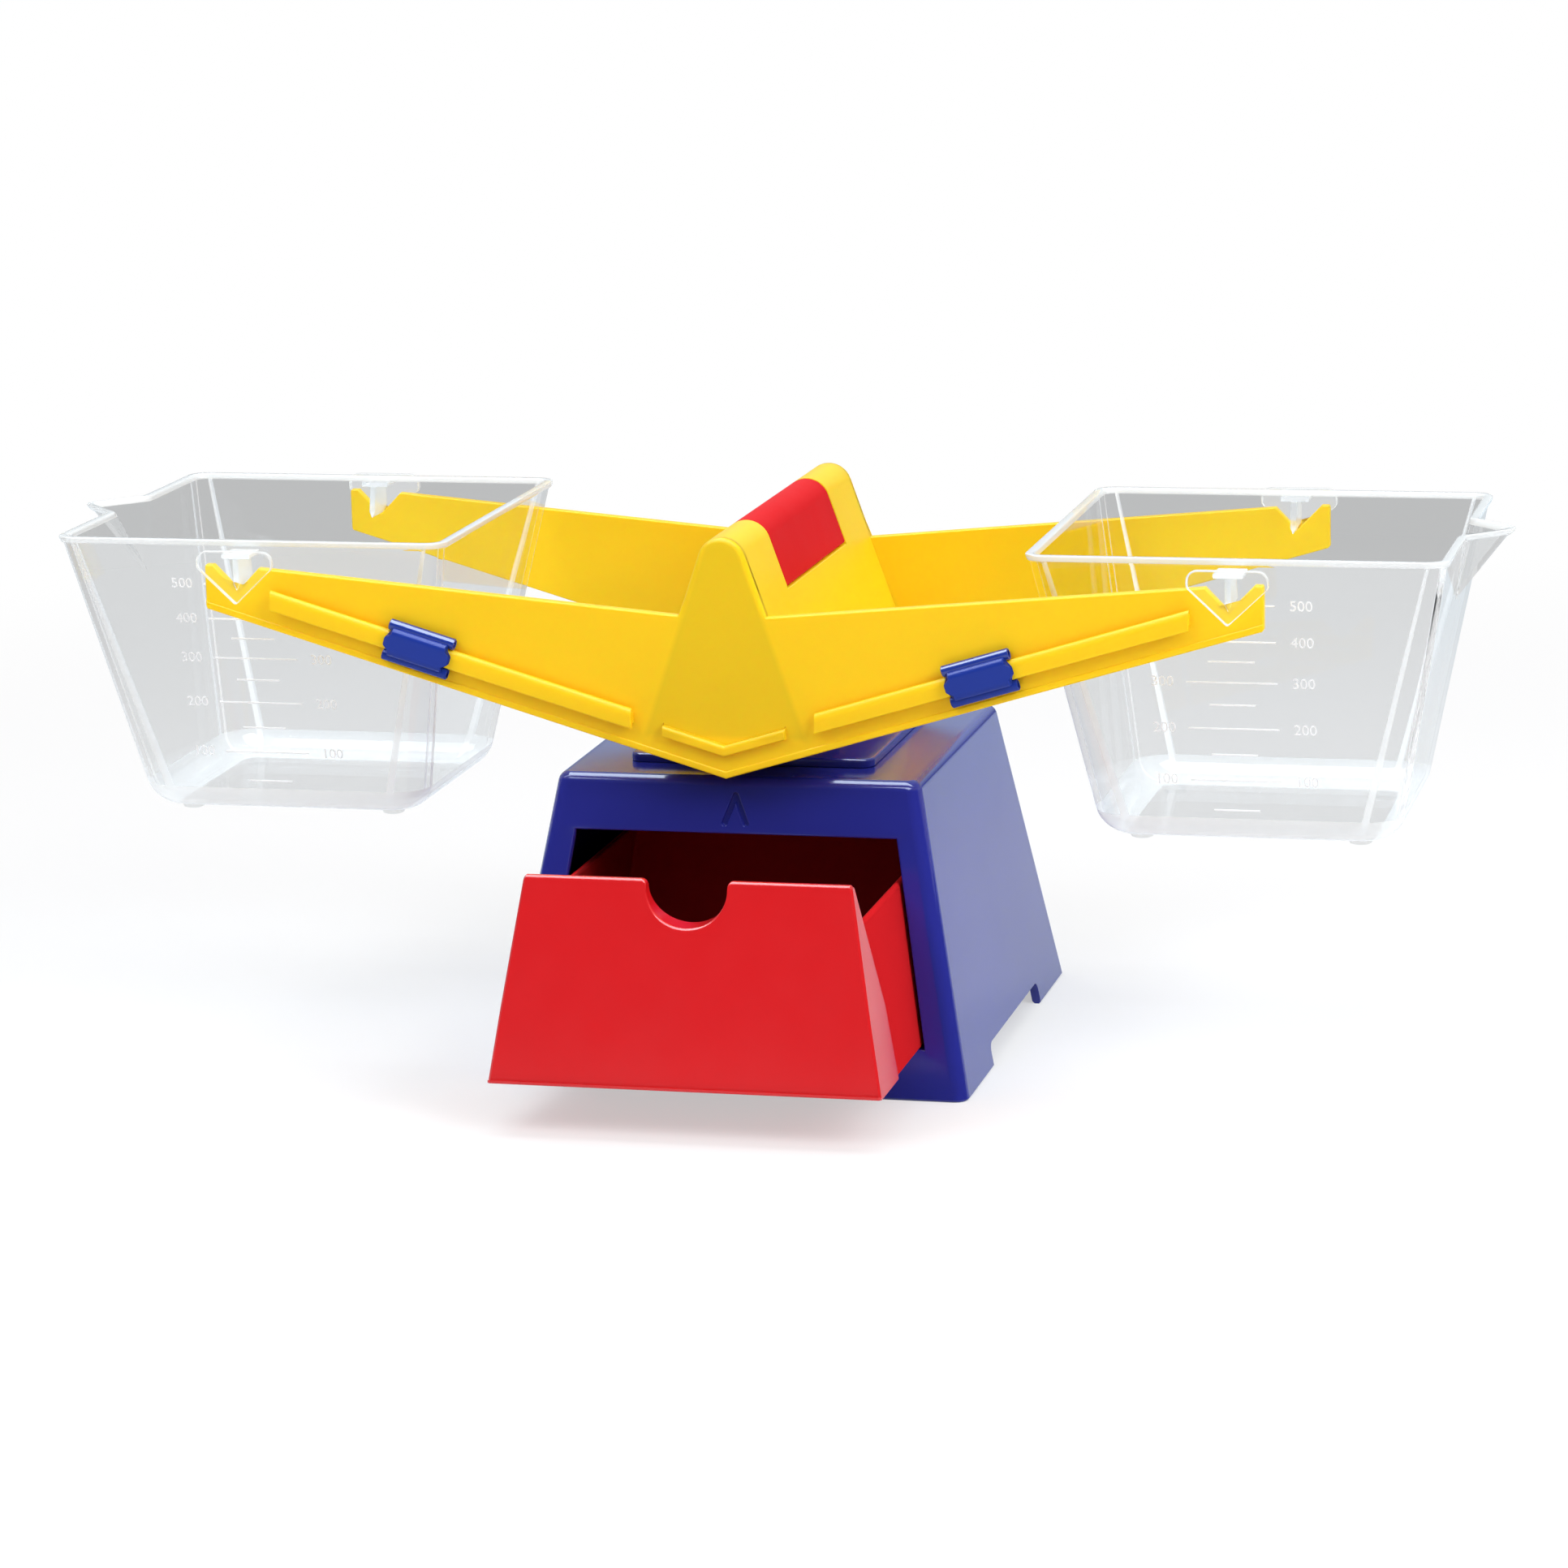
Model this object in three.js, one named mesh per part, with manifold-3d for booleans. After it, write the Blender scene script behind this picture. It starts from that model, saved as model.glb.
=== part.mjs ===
// Toy bucket balance: a base with a drawer, a beam that rocks on a hidden blade, and two clear buckets.
// Millimetres, +Z up, the front towards -Y. Heights are above the table unless a comment says otherwise.
import * as THREE from 'three';
import { mergeVertices } from 'three/addons/utils/BufferGeometryUtils.js';
import Module from 'manifold-3d';

const wasm = await Module();
wasm.setup();

// Base: a hollow truncated pyramid
const baseHeight = 84.5;
const baseTopWidth = 101.5;
const baseTopDepth = 108;
const baseBottomWidth = 133;
const baseBottomDepth = 142;
const baseWall = 2.5;
const baseCornerRadius = 4;
const baseTopFillet = 2.5;
const archLength = 68; // cut-out between the feet of each side wall
const archHeight = 6.5;
const archCorner = 3;

// Drawer opening in the base's front face
const openingSill = 13.6; // height of the sill
const openingLintel = 15.2; // front face left above the opening
const openingSideTop = 8.5; // front face left beside the opening at its top
const openingSideBottom = 9.7; // and at its bottom

// Index mark engraved above the opening
const markHeight = 8;
const markWidth = 8;
const markStroke = 1.7;
const markDepth = 0.7;
const markBelowTop = 3.8; // from the base's top to the mark's tip

// Floor plate and its screws
const floorThickness = 2.5;
const bossRadius = 3.6;
const bossHeight = 12;
const bossInset = 3.2; // boss axis from the inside of the walls
const screwRadius = 1.4;
const screwLength = 12;
const screwHeadRadius = 3;
const screwHeadTop = 2.1; // radius of the head's flat top
const screwHeadHeight = 2;

// Drawer, drawn shut and then pulled out
const drawerOpen = 51.5;
const drawerWall = 2;
const trayHeight = 43.6;
const trayStep = 0.5; // the tray is narrower than its front on each side
const trayRearGap = 1.5; // to the base's rear wall when shut
const frontTopThickness = 2.2;
const frontBottomThickness = 22.8;
const frontKneeHeight = 20; // height over which the front's rear face is upright
const fingerNotchRadius = 11;
const fingerNotchShoulder = 1.5;

// Beam: two V-shaped rails joined by a tent
const pointerGap = 2; // the rails' lowest point above the base's top
const beamLength = 293;
const railSpan = 129.5; // outer face to outer face
const railThickness = 3;
const railRise = 43.8; // from the pointer up to the lower corner of the rail's end
const railEndHeight = 12.2;
const railCentreHeight = 44.6; // from the pointer up to the rail's top edge beside the tent
const notchInset = 9.3; // notch centre from the rail's end
const notchDepth = 7.2;
const notchWidth = 14;
const notchTipDrop = 0.8; // the notch's inner tip is lower than its outer tip
const tentWidth = 24.4; // at the rails' top edge
const tentLean = THREE.MathUtils.degToRad(19.2); // of the roof, from upright
const ridgeRadius = 6.7;
const roofThickness = 2.5;
const skirtHeight = 10.5; // roof's lower edge above the pointer

// Ribs on the rails' outer faces, measured square to the rails' lower edge
const rimWidth = 1.9;
const rimRise = 0.8;
const trackStart = 25.5; // from the middle of the beam
const trackEndGap = 10.2; // from the notch centre
const trackOffset = 5.7;
const trackHeadWidth = 5.3;
const trackStemWidth = 2.6;
const trackStem = 1.5;
const trackHead = 1.5;
const chevronReach = 17;
const chevronOffset = 6.2;
const chevronWidth = 2.9;
const chevronRise = 2;

// Cap in the ridge, with the bearing groove under it
const capLength = 70;
const capAboveRail = 3; // cap's lower edge above the rails' top edge
const capFlange = 2;
const capFlangeLap = 2.2;
const grooveDepth = 3.2;
const pivotBelowRidge = 7.4;

// Fulcrum post: foot plate and blade
const plateWidth = 69;
const plateDepth = 77;
const plateHeight = 2.3;
const plateCorner = 4;
const bladeLength = 66;
const bladeSlope = 0.19; // half-width gained for each millimetre down
const bladeTip = 0.25; // half-width at the edge
const bladeWall = 2.2;
const postScrewSpacing = 40;
const postBossHeight = 14;

// Sliders on the front rail, placed by their distance from the middle of the beam
const sliderLength = 19;
const sliderPlate = 1.8; // front plate's thickness
const sliderWall = 1.1; // above and below the track's head
const sliderEdge = 1.2; // rounding of the front plate's edges
const sliderRoll = 1.6; // radius of the rolled upper and lower edges
const sliderRollRise = 1.35; // their axes above and below the track's head
const sliderLeftAt = 85;
const sliderRightAt = 71;

// Buckets, hung at the bottom of the notches
const bucketSideGap = 5.6; // rim to rail
const bucketLength = 111.9;
const bucketFloorLength = 81.8;
const bucketFloorDepth = 75;
const bucketHeight = 81.1;
const bucketRimRise = 12.6; // rim above the hanging line
const bucketWall = 1.8;
const bucketRimCorner = 5;
const bucketFloorCorner = 11;
const bucketFloorFillet = 7;
const rimBead = 0.8;
const rimBeadHeight = 2.2;
const spoutReach = 12.05;
const spoutWidth = 28;
const spoutDrop = 20;
const spoutTip = 3.2; // width of the beak's blunt end
const spoutRoot = 0.4; // width of the beak where it starts on the wall
const footRadius = 3.2;
const footHeight = 1.5;
const footSpacingX = 59.8;
const footSpacingY = 54;

// Hanging lugs: a web in the notch, a flange over it and a shield outside the rail
const lugGap = 0.7; // shield to rail
const lugWeb = 1.6;
const lugFlangeWidth = 8;
const lugFlangeThickness = 1.3;
const lugFlangeRise = 10.3; // flange's top above the hanging line
const shieldThickness = 1.8;
const shieldWidth = 22;
const shieldTop = 11.4; // above the hanging line
const shieldShoulder = 6.7;
const shieldPoint = 3.7; // below the hanging line
const shieldCorner = 3;

// Clearances
const seatGap = 0.2; // between pieces that are screwed together
const runGap = 0.3; // between pieces that slide or rock on each other
const drawerGap = 0.5; // round the drawer's front
const capGap = 0.4; // round the cap in its window
const holeGap = 0.2; // round a screw

// Facets and cutting
const arcSteps = 4; // on a quarter turn
const roundSides = 12;
const leastRadius = 1; // of an inside corner
const cutPast = 1; // how far a cut runs past the face that it opens

// Places worked out from the sizes above
const pointerZ = baseHeight + pointerGap;
const railSlope = railRise / (beamLength / 2);
const railCosine = Math.cos(Math.atan(railSlope));
const railEndTop = pointerZ + railRise + railEndHeight;
const railTopZ = pointerZ + railCentreHeight;
const railFace = railSpan / 2;
const railInside = railFace - railThickness;
const notchX = beamLength / 2 - notchInset;
const hangZ = railEndTop - notchDepth;
const ridgeCentreZ = railTopZ + (tentWidth / 2 - ridgeRadius / Math.cos(tentLean)) / Math.tan(tentLean);
const ridgeZ = ridgeCentreZ + ridgeRadius;
const pivotZ = ridgeZ - pivotBelowRidge;
const capLowZ = railTopZ + capAboveRail;
const openingTop = baseHeight - openingLintel;
const floorTop = openingSill;
const floorBottom = floorTop - floorThickness;
const drawerBottom = floorTop + runGap;
const drawerFrontTop = openingTop - drawerGap;
const topUnderside = baseHeight - baseWall;
const trackEnd = notchX - trackEndGap;
const bucketDepth = 2 * (railInside - bucketSideGap);

// A closed three.js geometry as a solid that can be joined and cut
function solid(geometry) {
  geometry.deleteAttribute('normal');
  geometry.deleteAttribute('uv');
  const merged = mergeVertices(geometry, 1e-4);
  const corners = merged.index.array;
  const triangles = [];
  for (let i = 0; i < corners.length; i += 3) {
    const [a, b, c] = corners.slice(i, i + 3);
    if (a !== b && b !== c && c !== a) triangles.push(a, b, c);
  }
  const vertProperties = new Float32Array(merged.attributes.position.array);
  const triVerts = new Uint32Array(triangles);
  return new wasm.Manifold(new wasm.Mesh({ numProp: 3, vertProperties, triVerts }));
}

function geometryOf(body) {
  const mesh = body.getMesh();
  const geometry = new THREE.BufferGeometry();
  geometry.setAttribute('position', new THREE.BufferAttribute(new Float32Array(mesh.vertProperties), 3));
  geometry.setIndex(new THREE.BufferAttribute(new Uint32Array(mesh.triVerts), 1));
  geometry.computeVertexNormals();
  return geometry;
}

function extrusion(shape, depth) {
  return new THREE.ExtrudeGeometry(shape, { depth, bevelEnabled: false, curveSegments: 2 * arcSteps });
}

// A shape drawn in X and Z, extruded from a front face to a rear face
function alongY(shape, yFront, yRear) {
  const turn = new THREE.Matrix4().makeBasis(
    new THREE.Vector3(1, 0, 0), new THREE.Vector3(0, 0, 1), new THREE.Vector3(0, -1, 0));
  return solid(extrusion(shape, yRear - yFront).applyMatrix4(turn).translate(0, yRear, 0));
}

// A shape drawn in Y and Z, extruded from left to right
function alongX(shape, xLeft, xRight) {
  const turn = new THREE.Matrix4().makeBasis(
    new THREE.Vector3(0, 1, 0), new THREE.Vector3(0, 0, 1), new THREE.Vector3(1, 0, 0));
  return solid(extrusion(shape, xRight - xLeft).applyMatrix4(turn).translate(xLeft, 0, 0));
}

function alongZ(shape, zLow, zHigh) {
  return solid(extrusion(shape, zHigh - zLow).translate(0, 0, zLow));
}

function box(x, y, z) {
  const geometry = new THREE.BoxGeometry(x[1] - x[0], y[1] - y[0], z[1] - z[0]);
  return solid(geometry.translate((x[0] + x[1]) / 2, (y[0] + y[1]) / 2, (z[0] + z[1]) / 2));
}

function pillar(radius, x, y, zLow, zHigh) {
  const geometry = new THREE.CylinderGeometry(radius, radius, zHigh - zLow, roundSides);
  return solid(geometry.rotateX(Math.PI / 2).translate(x, y, (zLow + zHigh) / 2));
}

function polygon(points) {
  return new THREE.Shape(points.map(([u, v]) => new THREE.Vector2(u, v)));
}

function roundedRectangle(width, depth, radius) {
  const x = width / 2 - radius;
  const y = depth / 2 - radius;
  const quarter = Math.PI / 2;
  const shape = new THREE.Shape();
  shape.absarc(x, -y, radius, -quarter, 0, false);
  shape.absarc(x, y, radius, 0, quarter, false);
  shape.absarc(-x, y, radius, quarter, 2 * quarter, false);
  shape.absarc(-x, -y, radius, 2 * quarter, 3 * quarter, false);
  return shape;
}

// A ring of points round a rectangle with rounded corners, anticlockwise from above
function roundedRing(width, depth, radius, z) {
  const ring = [];
  const signs = [[1, 1], [-1, 1], [-1, -1], [1, -1]];
  signs.forEach(([sx, sy], corner) => {
    for (let step = 0; step <= arcSteps; step += 1) {
      const angle = (corner + step / arcSteps) * Math.PI / 2;
      const x = sx * (width / 2 - radius) + radius * Math.cos(angle);
      const y = sy * (depth / 2 - radius) + radius * Math.sin(angle);
      ring.push(new THREE.Vector3(x, y, z));
    }
  });
  return ring;
}

// A solid skinned over rings of equal point count, listed from the bottom up
function loft(rings) {
  const count = rings[0].length;
  const index = [];
  for (let level = 0; level + 1 < rings.length; level += 1) {
    for (let i = 0; i < count; i += 1) {
      const low = level * count + i;
      const lowNext = level * count + (i + 1) % count;
      index.push(low, lowNext, lowNext + count, low, lowNext + count, low + count);
    }
  }
  const top = (rings.length - 1) * count;
  for (let i = 1; i + 1 < count; i += 1) {
    index.push(0, i + 1, i, top, top + i, top + i + 1);
  }
  const geometry = new THREE.BufferGeometry().setFromPoints(rings.flat());
  geometry.setIndex(index);
  return solid(geometry);
}

function join(bodies) {
  return bodies.reduce((whole, body) => whole.add(body));
}

// Base housing

function baseWidthAt(z) {
  return THREE.MathUtils.lerp(baseBottomWidth, baseTopWidth, z / baseHeight);
}

function baseDepthAt(z) {
  return THREE.MathUtils.lerp(baseBottomDepth, baseTopDepth, z / baseHeight);
}

function baseRing(z, inset) {
  const radius = Math.max(baseCornerRadius - inset, leastRadius);
  return roundedRing(baseWidthAt(z) - 2 * inset, baseDepthAt(z) - 2 * inset, radius, z);
}

function baseOutside() {
  const rings = [baseRing(0, 0)];
  for (let step = 0; step <= arcSteps; step += 1) {
    const angle = step / arcSteps * Math.PI / 2;
    const z = baseHeight - baseTopFillet * (1 - Math.sin(angle));
    rings.push(baseRing(z, baseTopFillet * (1 - Math.cos(angle))));
  }
  return loft(rings);
}

function openingHalfWidthAt(z) {
  const top = baseWidthAt(openingTop) / 2 - openingSideTop;
  const bottom = baseWidthAt(openingSill) / 2 - openingSideBottom;
  return THREE.MathUtils.lerp(bottom, top, (z - openingSill) / (openingTop - openingSill));
}

// The opening's outline between two heights, drawn in by an inset on its sides
function openingOutline(zLow, zHigh, inset) {
  const low = openingHalfWidthAt(zLow) - inset;
  const high = openingHalfWidthAt(zHigh) - inset;
  return polygon([[-low, zLow], [low, zLow], [high, zHigh], [-high, zHigh]]);
}

function archOutline() {
  const half = archLength / 2;
  const shape = new THREE.Shape();
  shape.moveTo(-half, -archHeight);
  shape.lineTo(half, -archHeight);
  shape.absarc(half - archCorner, archHeight - archCorner, archCorner, 0, Math.PI / 2, false);
  shape.absarc(archCorner - half, archHeight - archCorner, archCorner, Math.PI / 2, Math.PI, false);
  return shape;
}

// An upside-down V, cut square to the sloping front face
function indexMark() {
  const lean = Math.atan((baseBottomDepth - baseTopDepth) / 2 / baseHeight);
  const tipZ = baseHeight - markBelowTop;
  const half = markWidth / 2;
  const outline = polygon([
    [-half, -markHeight], [markStroke - half, -markHeight], [0, -markStroke],
    [half - markStroke, -markHeight], [half, -markHeight], [0, 0],
  ]);
  const cutter = geometryOf(alongY(outline, -markDepth, markDepth));
  return solid(cutter.rotateX(-lean).translate(0, -baseDepthAt(tipZ) / 2, tipZ));
}

function cornerPlaces() {
  const x = baseWidthAt(floorTop) / 2 - baseWall - bossInset;
  const y = baseDepthAt(floorTop) / 2 - baseWall - bossInset;
  return [[-x, -y], [x, -y], [x, y], [-x, y]];
}

function baseHousing() {
  const outside = baseOutside();
  const inside = loft([baseRing(-cutPast, baseWall), baseRing(topUnderside, baseWall)]);
  const opening = openingOutline(openingSill, openingTop, 0);
  const bossLow = floorTop + seatGap;
  const bosses = cornerPlaces().map(([x, y]) => pillar(bossRadius, x, y, bossLow, bossLow + bossHeight));
  const hole = screwRadius + holeGap;
  const bossHoles = cornerPlaces().map(
    ([x, y]) => pillar(hole, x, y, floorBottom, floorBottom + screwLength));
  const postHoles = postScrewPlaces().map(
    (y) => pillar(hole, 0, y, topUnderside - cutPast, baseHeight + cutPast));
  return outside
    .subtract(inside)
    .subtract(alongY(opening, -baseBottomDepth, -baseTopDepth / 4))
    .subtract(alongX(archOutline(), -baseBottomWidth, baseBottomWidth))
    .subtract(indexMark())
    .add(join(bosses).intersect(outside))
    .subtract(join([...bossHoles, ...postHoles]));
}

function baseFloor() {
  const width = baseWidthAt(floorTop) - 2 * (baseWall + runGap);
  const depth = baseDepthAt(floorTop) - 2 * (baseWall + runGap);
  const plate = alongZ(roundedRectangle(width, depth, baseCornerRadius), floorBottom, floorTop);
  const hole = screwRadius + holeGap;
  const holes = cornerPlaces().map(([x, y]) => pillar(hole, x, y, floorBottom - cutPast, floorTop + cutPast));
  return plate.subtract(join(holes));
}

// A pan-head screw with its bearing face at z = 0 and its shank upwards
function screw() {
  const profile = [
    [0, -screwHeadHeight], [screwHeadTop, -screwHeadHeight], [screwHeadRadius, -screwHeadHeight / 2],
    [screwHeadRadius, 0], [screwRadius, 0], [screwRadius, screwLength - screwRadius], [0, screwLength],
  ].map(([r, z]) => new THREE.Vector2(r, z));
  return solid(new THREE.LatheGeometry(profile, roundSides).rotateX(Math.PI / 2));
}

// Drawer, drawn shut, its front flush with the base's front face

function drawerFrontY(z) {
  return -baseDepthAt(z) / 2;
}

function drawerFrontProfile(inset, zLow, zHigh) {
  const kneeZ = drawerBottom + frontKneeHeight;
  const rearLow = drawerFrontY(drawerBottom) + frontBottomThickness;
  const rearHigh = drawerFrontY(drawerFrontTop) + frontTopThickness;
  const rearAt = (z) => THREE.MathUtils.lerp(rearLow, rearHigh, (z - kneeZ) / (drawerFrontTop - kneeZ));
  return polygon([
    [drawerFrontY(zLow) + inset, zLow], [rearLow - inset, zLow], [rearLow - inset, kneeZ],
    [rearAt(zHigh) - inset, zHigh], [drawerFrontY(zHigh) + inset, zHigh],
  ]);
}

function fingerNotch() {
  const r = fingerNotchShoulder;
  const z = drawerFrontTop - r;
  const reach = fingerNotchRadius + r;
  const shape = new THREE.Shape();
  shape.moveTo(-reach, drawerFrontTop + cutPast);
  shape.lineTo(-reach, drawerFrontTop);
  shape.absarc(-reach, z, r, Math.PI / 2, 0, true);
  shape.absarc(0, z, fingerNotchRadius, Math.PI, 2 * Math.PI, false);
  shape.absarc(reach, z, r, Math.PI, Math.PI / 2, true);
  shape.lineTo(reach, drawerFrontTop + cutPast);
  return shape;
}

function drawer() {
  const reach = baseBottomWidth / 2;
  const trayTop = drawerBottom + trayHeight;
  const trayFront = drawerFrontY(drawerBottom) + frontBottomThickness - drawerWall;
  const trayRear = baseDepthAt(trayTop) / 2 - baseWall - trayRearGap;
  const cavityLow = drawerBottom + drawerWall;
  const sideInset = drawerGap + trayStep;

  const front = alongX(drawerFrontProfile(0, drawerBottom, drawerFrontTop), -reach, reach)
    .intersect(alongY(openingOutline(drawerBottom, drawerFrontTop, drawerGap), -reach * 2, reach));
  const tray = alongY(openingOutline(drawerBottom, trayTop, sideInset), trayFront, trayRear);
  const cavity = alongY(
    openingOutline(cavityLow, drawerFrontTop, sideInset + drawerWall), trayFront, trayRear - drawerWall);

  const hollowTop = drawerFrontTop - fingerNotchRadius - fingerNotchShoulder - drawerWall;
  const hollow = alongX(drawerFrontProfile(drawerWall, drawerBottom - cutPast, hollowTop), -reach, reach)
    .intersect(alongY(
      openingOutline(drawerBottom - cutPast, hollowTop, sideInset + drawerWall), -reach * 2, reach));
  return tray
    .subtract(cavity)
    .add(front)
    .subtract(hollow)
    .subtract(alongY(fingerNotch(), -reach * 2, reach / 4));
}

// Beam

// Half of the tent's width at a height, for a surface at an inset from the outside of the roof
function tentHalfWidthAt(z, inset) {
  return tentWidth / 2 + (railTopZ - z) * Math.tan(tentLean) - inset / Math.cos(tentLean);
}

// The roof's section between two insets, from a lower edge over the ridge and down again
function saddle(outerInset, innerInset, zLow) {
  const outer = tentHalfWidthAt(zLow, outerInset);
  const inner = tentHalfWidthAt(zLow, innerInset);
  const shape = new THREE.Shape();
  shape.moveTo(inner, zLow);
  shape.lineTo(outer, zLow);
  shape.absarc(0, ridgeCentreZ, ridgeRadius - outerInset, tentLean, Math.PI - tentLean, false);
  shape.lineTo(-outer, zLow);
  shape.lineTo(-inner, zLow);
  shape.absarc(0, ridgeCentreZ, ridgeRadius - innerInset, Math.PI - tentLean, tentLean, true);
  return shape;
}

// One rail seen from the front: V-shaped below, notched at both ends, with the tent's gable in the middle
function railOutline() {
  const half = beamLength / 2;
  const endBottom = pointerZ + railRise;
  const flank = notchWidth / 2;
  const innerTip = notchX - flank * (1 - notchTipDrop / notchDepth);
  const shape = new THREE.Shape();
  shape.moveTo(0, pointerZ);
  shape.lineTo(half, endBottom);
  shape.lineTo(half, railEndTop);
  shape.lineTo(notchX + flank, railEndTop);
  shape.lineTo(notchX, hangZ);
  shape.lineTo(innerTip, railEndTop - notchTipDrop);
  shape.lineTo(tentWidth / 2, railTopZ);
  shape.absarc(0, ridgeCentreZ, ridgeRadius, tentLean, Math.PI - tentLean, false);
  shape.lineTo(-tentWidth / 2, railTopZ);
  shape.lineTo(-innerTip, railEndTop - notchTipDrop);
  shape.lineTo(-notchX, hangZ);
  shape.lineTo(-notchX - flank, railEndTop);
  shape.lineTo(-half, railEndTop);
  shape.lineTo(-half, endBottom);
  return shape;
}

// A strip along the rail's lower edge, from its offset to its offset plus width, on one side of the beam
function strip(side, xStart, xEnd, offset, width) {
  const low = (x) => pointerZ + x * railSlope + offset / railCosine;
  const high = (x) => low(x) + width / railCosine;
  const points = [[xStart, low(xStart)], [xEnd, low(xEnd)], [xEnd, high(xEnd)], [xStart, high(xStart)]];
  return polygon(points.map(([x, z]) => [side * x, z]));
}

// The ribs that stand out from a rail's face, with y counted outwards from the face
function railRibs(outwards) {
  const ribs = [];
  const sink = railThickness / 2;
  const raise = (outline, from, to) => {
    const ends = [outwards * (railFace + from), outwards * (railFace + to)].sort((a, b) => a - b);
    ribs.push(alongY(outline, ends[0], ends[1]));
  };
  const stemOffset = trackOffset + (trackHeadWidth - trackStemWidth) / 2;
  for (const side of [-1, 1]) {
    raise(strip(side, 0, beamLength / 2, 0, rimWidth), -sink, rimRise);
    raise(strip(side, trackStart, trackEnd, stemOffset, trackStemWidth), -sink, trackStem);
    raise(strip(side, trackStart, trackEnd, trackOffset, trackHeadWidth), trackStem, trackStem + trackHead);
    raise(strip(side, 0, chevronReach, chevronOffset, chevronWidth), -sink, chevronRise);
  }
  return join(ribs);
}

function beam() {
  const rail = railOutline();
  const sink = railThickness / 2;
  const front = alongY(rail, -railFace, -railInside);
  const rear = alongY(rail, railInside, railFace);
  const roofEnd = railInside + sink;
  const roof = alongY(saddle(0, roofThickness, pointerZ + skirtHeight), -roofEnd, roofEnd);
  const windowHalf = capLength / 2 + capGap;
  const reach = tentWidth;
  const opening = box([-reach, reach], [-windowHalf, windowHalf], [capLowZ - capGap, ridgeZ + reach]);
  return join([roof.subtract(opening), front, rear, railRibs(-1), railRibs(1)]);
}

// Cap: flush with the roof, held from inside by a flange, with the bearing groove along its ridge

function ridgeCap() {
  const flangeOut = roofThickness + runGap;
  const flangeIn = flangeOut + capFlange;
  const half = capLength / 2;
  const plug = alongY(saddle(0, flangeIn, capLowZ), -half, half);
  const lap = half + capFlangeLap;
  const flange = alongY(saddle(flangeOut, flangeIn, capLowZ - capFlangeLap), -lap, lap);
  const grooveLow = pivotZ - grooveDepth;
  const middle = (flangeOut + flangeIn) / 2;
  const low = tentHalfWidthAt(grooveLow, middle);
  const high = tentHalfWidthAt(pivotZ, middle);
  const bearing = alongY(polygon([
    [-low, grooveLow], [-grooveDepth, grooveLow], [0, pivotZ], [grooveDepth, grooveLow], [low, grooveLow],
    [high, pivotZ], [0, ridgeZ - middle], [-high, pivotZ],
  ]), -half, half);
  return join([plug, flange, bearing]);
}

// Fulcrum post

function postScrewPlaces() {
  return [-postScrewSpacing / 2, postScrewSpacing / 2];
}

function fulcrumPost() {
  const foot = baseHeight + seatGap;
  const edge = pivotZ - runGap;
  const halfAt = (z) => bladeTip + (edge - z) * bladeSlope;
  const half = bladeLength / 2;
  const plate = alongZ(roundedRectangle(plateWidth, plateDepth, plateCorner), foot, foot + plateHeight);
  const blade = alongY(polygon([
    [-halfAt(foot), foot], [halfAt(foot), foot], [halfAt(edge - bladeTip), edge - bladeTip],
    [0, edge], [-halfAt(edge - bladeTip), edge - bladeTip],
  ]), -half, half);
  const hollowLow = foot - cutPast;
  const hollowTop = edge - 2 * bladeWall / bladeSlope;
  const low = halfAt(hollowLow) - bladeWall;
  const high = halfAt(hollowTop) - bladeWall;
  const hollow = alongY(
    polygon([[-low, hollowLow], [low, hollowLow], [high, hollowTop], [-high, hollowTop]]),
    bladeWall - half, half - bladeWall);
  const bosses = postScrewPlaces().map((y) => pillar(bossRadius, 0, y, foot, foot + postBossHeight));
  const ribs = postScrewPlaces().map((y) => box(
    [-plateWidth / 2, plateWidth / 2],
    [y - bladeWall / 2, y + bladeWall / 2],
    [foot, foot + postBossHeight]));
  const hole = screwRadius + holeGap;
  const holes = postScrewPlaces().map((y) => pillar(hole, 0, y, foot - cutPast, foot + screwLength));
  return plate.add(blade)
    .subtract(hollow)
    .add(join([...bosses, ...ribs]).intersect(blade))
    .subtract(join(holes));
}

// Slider: a clip round the head of the track, drawn level along X with the rail's face at y = 0
function slider() {
  const back = -runGap;
  const lipFront = -(trackStem - runGap);
  const cavityFront = -(trackStem + trackHead + runGap);
  const front = cavityFront - sliderPlate;
  const lip = trackStemWidth / 2 + runGap;
  const cavity = trackHeadWidth / 2 + runGap;
  const plate = cavity + sliderWall;
  const rollAt = cavity + sliderRollRise;
  const rollBack = back - sliderRoll;
  const meet = Math.asin((rollAt - plate) / sliderRoll); // where a roll meets the plate's edge
  const r = sliderEdge;
  const half = Math.PI;
  const shape = new THREE.Shape();
  shape.moveTo(back, lip);
  shape.lineTo(lipFront, lip);
  shape.lineTo(lipFront, cavity);
  shape.lineTo(cavityFront, cavity);
  shape.lineTo(cavityFront, -cavity);
  shape.lineTo(lipFront, -cavity);
  shape.lineTo(lipFront, -lip);
  shape.lineTo(back, -lip);
  shape.absarc(rollBack, -rollAt, sliderRoll, 0, -half - meet, true);
  shape.absarc(front + r, r - plate, r, -half / 2, -half, true);
  shape.absarc(front + r, plate - r, r, half, half / 2, true);
  shape.absarc(rollBack, rollAt, sliderRoll, half + meet, 0, true);
  return alongX(shape, -sliderLength / 2, sliderLength / 2);
}

// Bucket, with its hanging line at the origin and its spout towards +X

function bucketRing(height, inset, z) {
  const share = height / bucketHeight;
  const length = THREE.MathUtils.lerp(bucketFloorLength, bucketLength, share) - 2 * inset;
  const depth = THREE.MathUtils.lerp(bucketFloorDepth, bucketDepth, share) - 2 * inset;
  const corner = THREE.MathUtils.lerp(bucketFloorCorner, bucketRimCorner, share);
  const radius = Math.max(corner - inset, leastRadius);
  return roundedRing(length, depth, radius, z);
}

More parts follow.
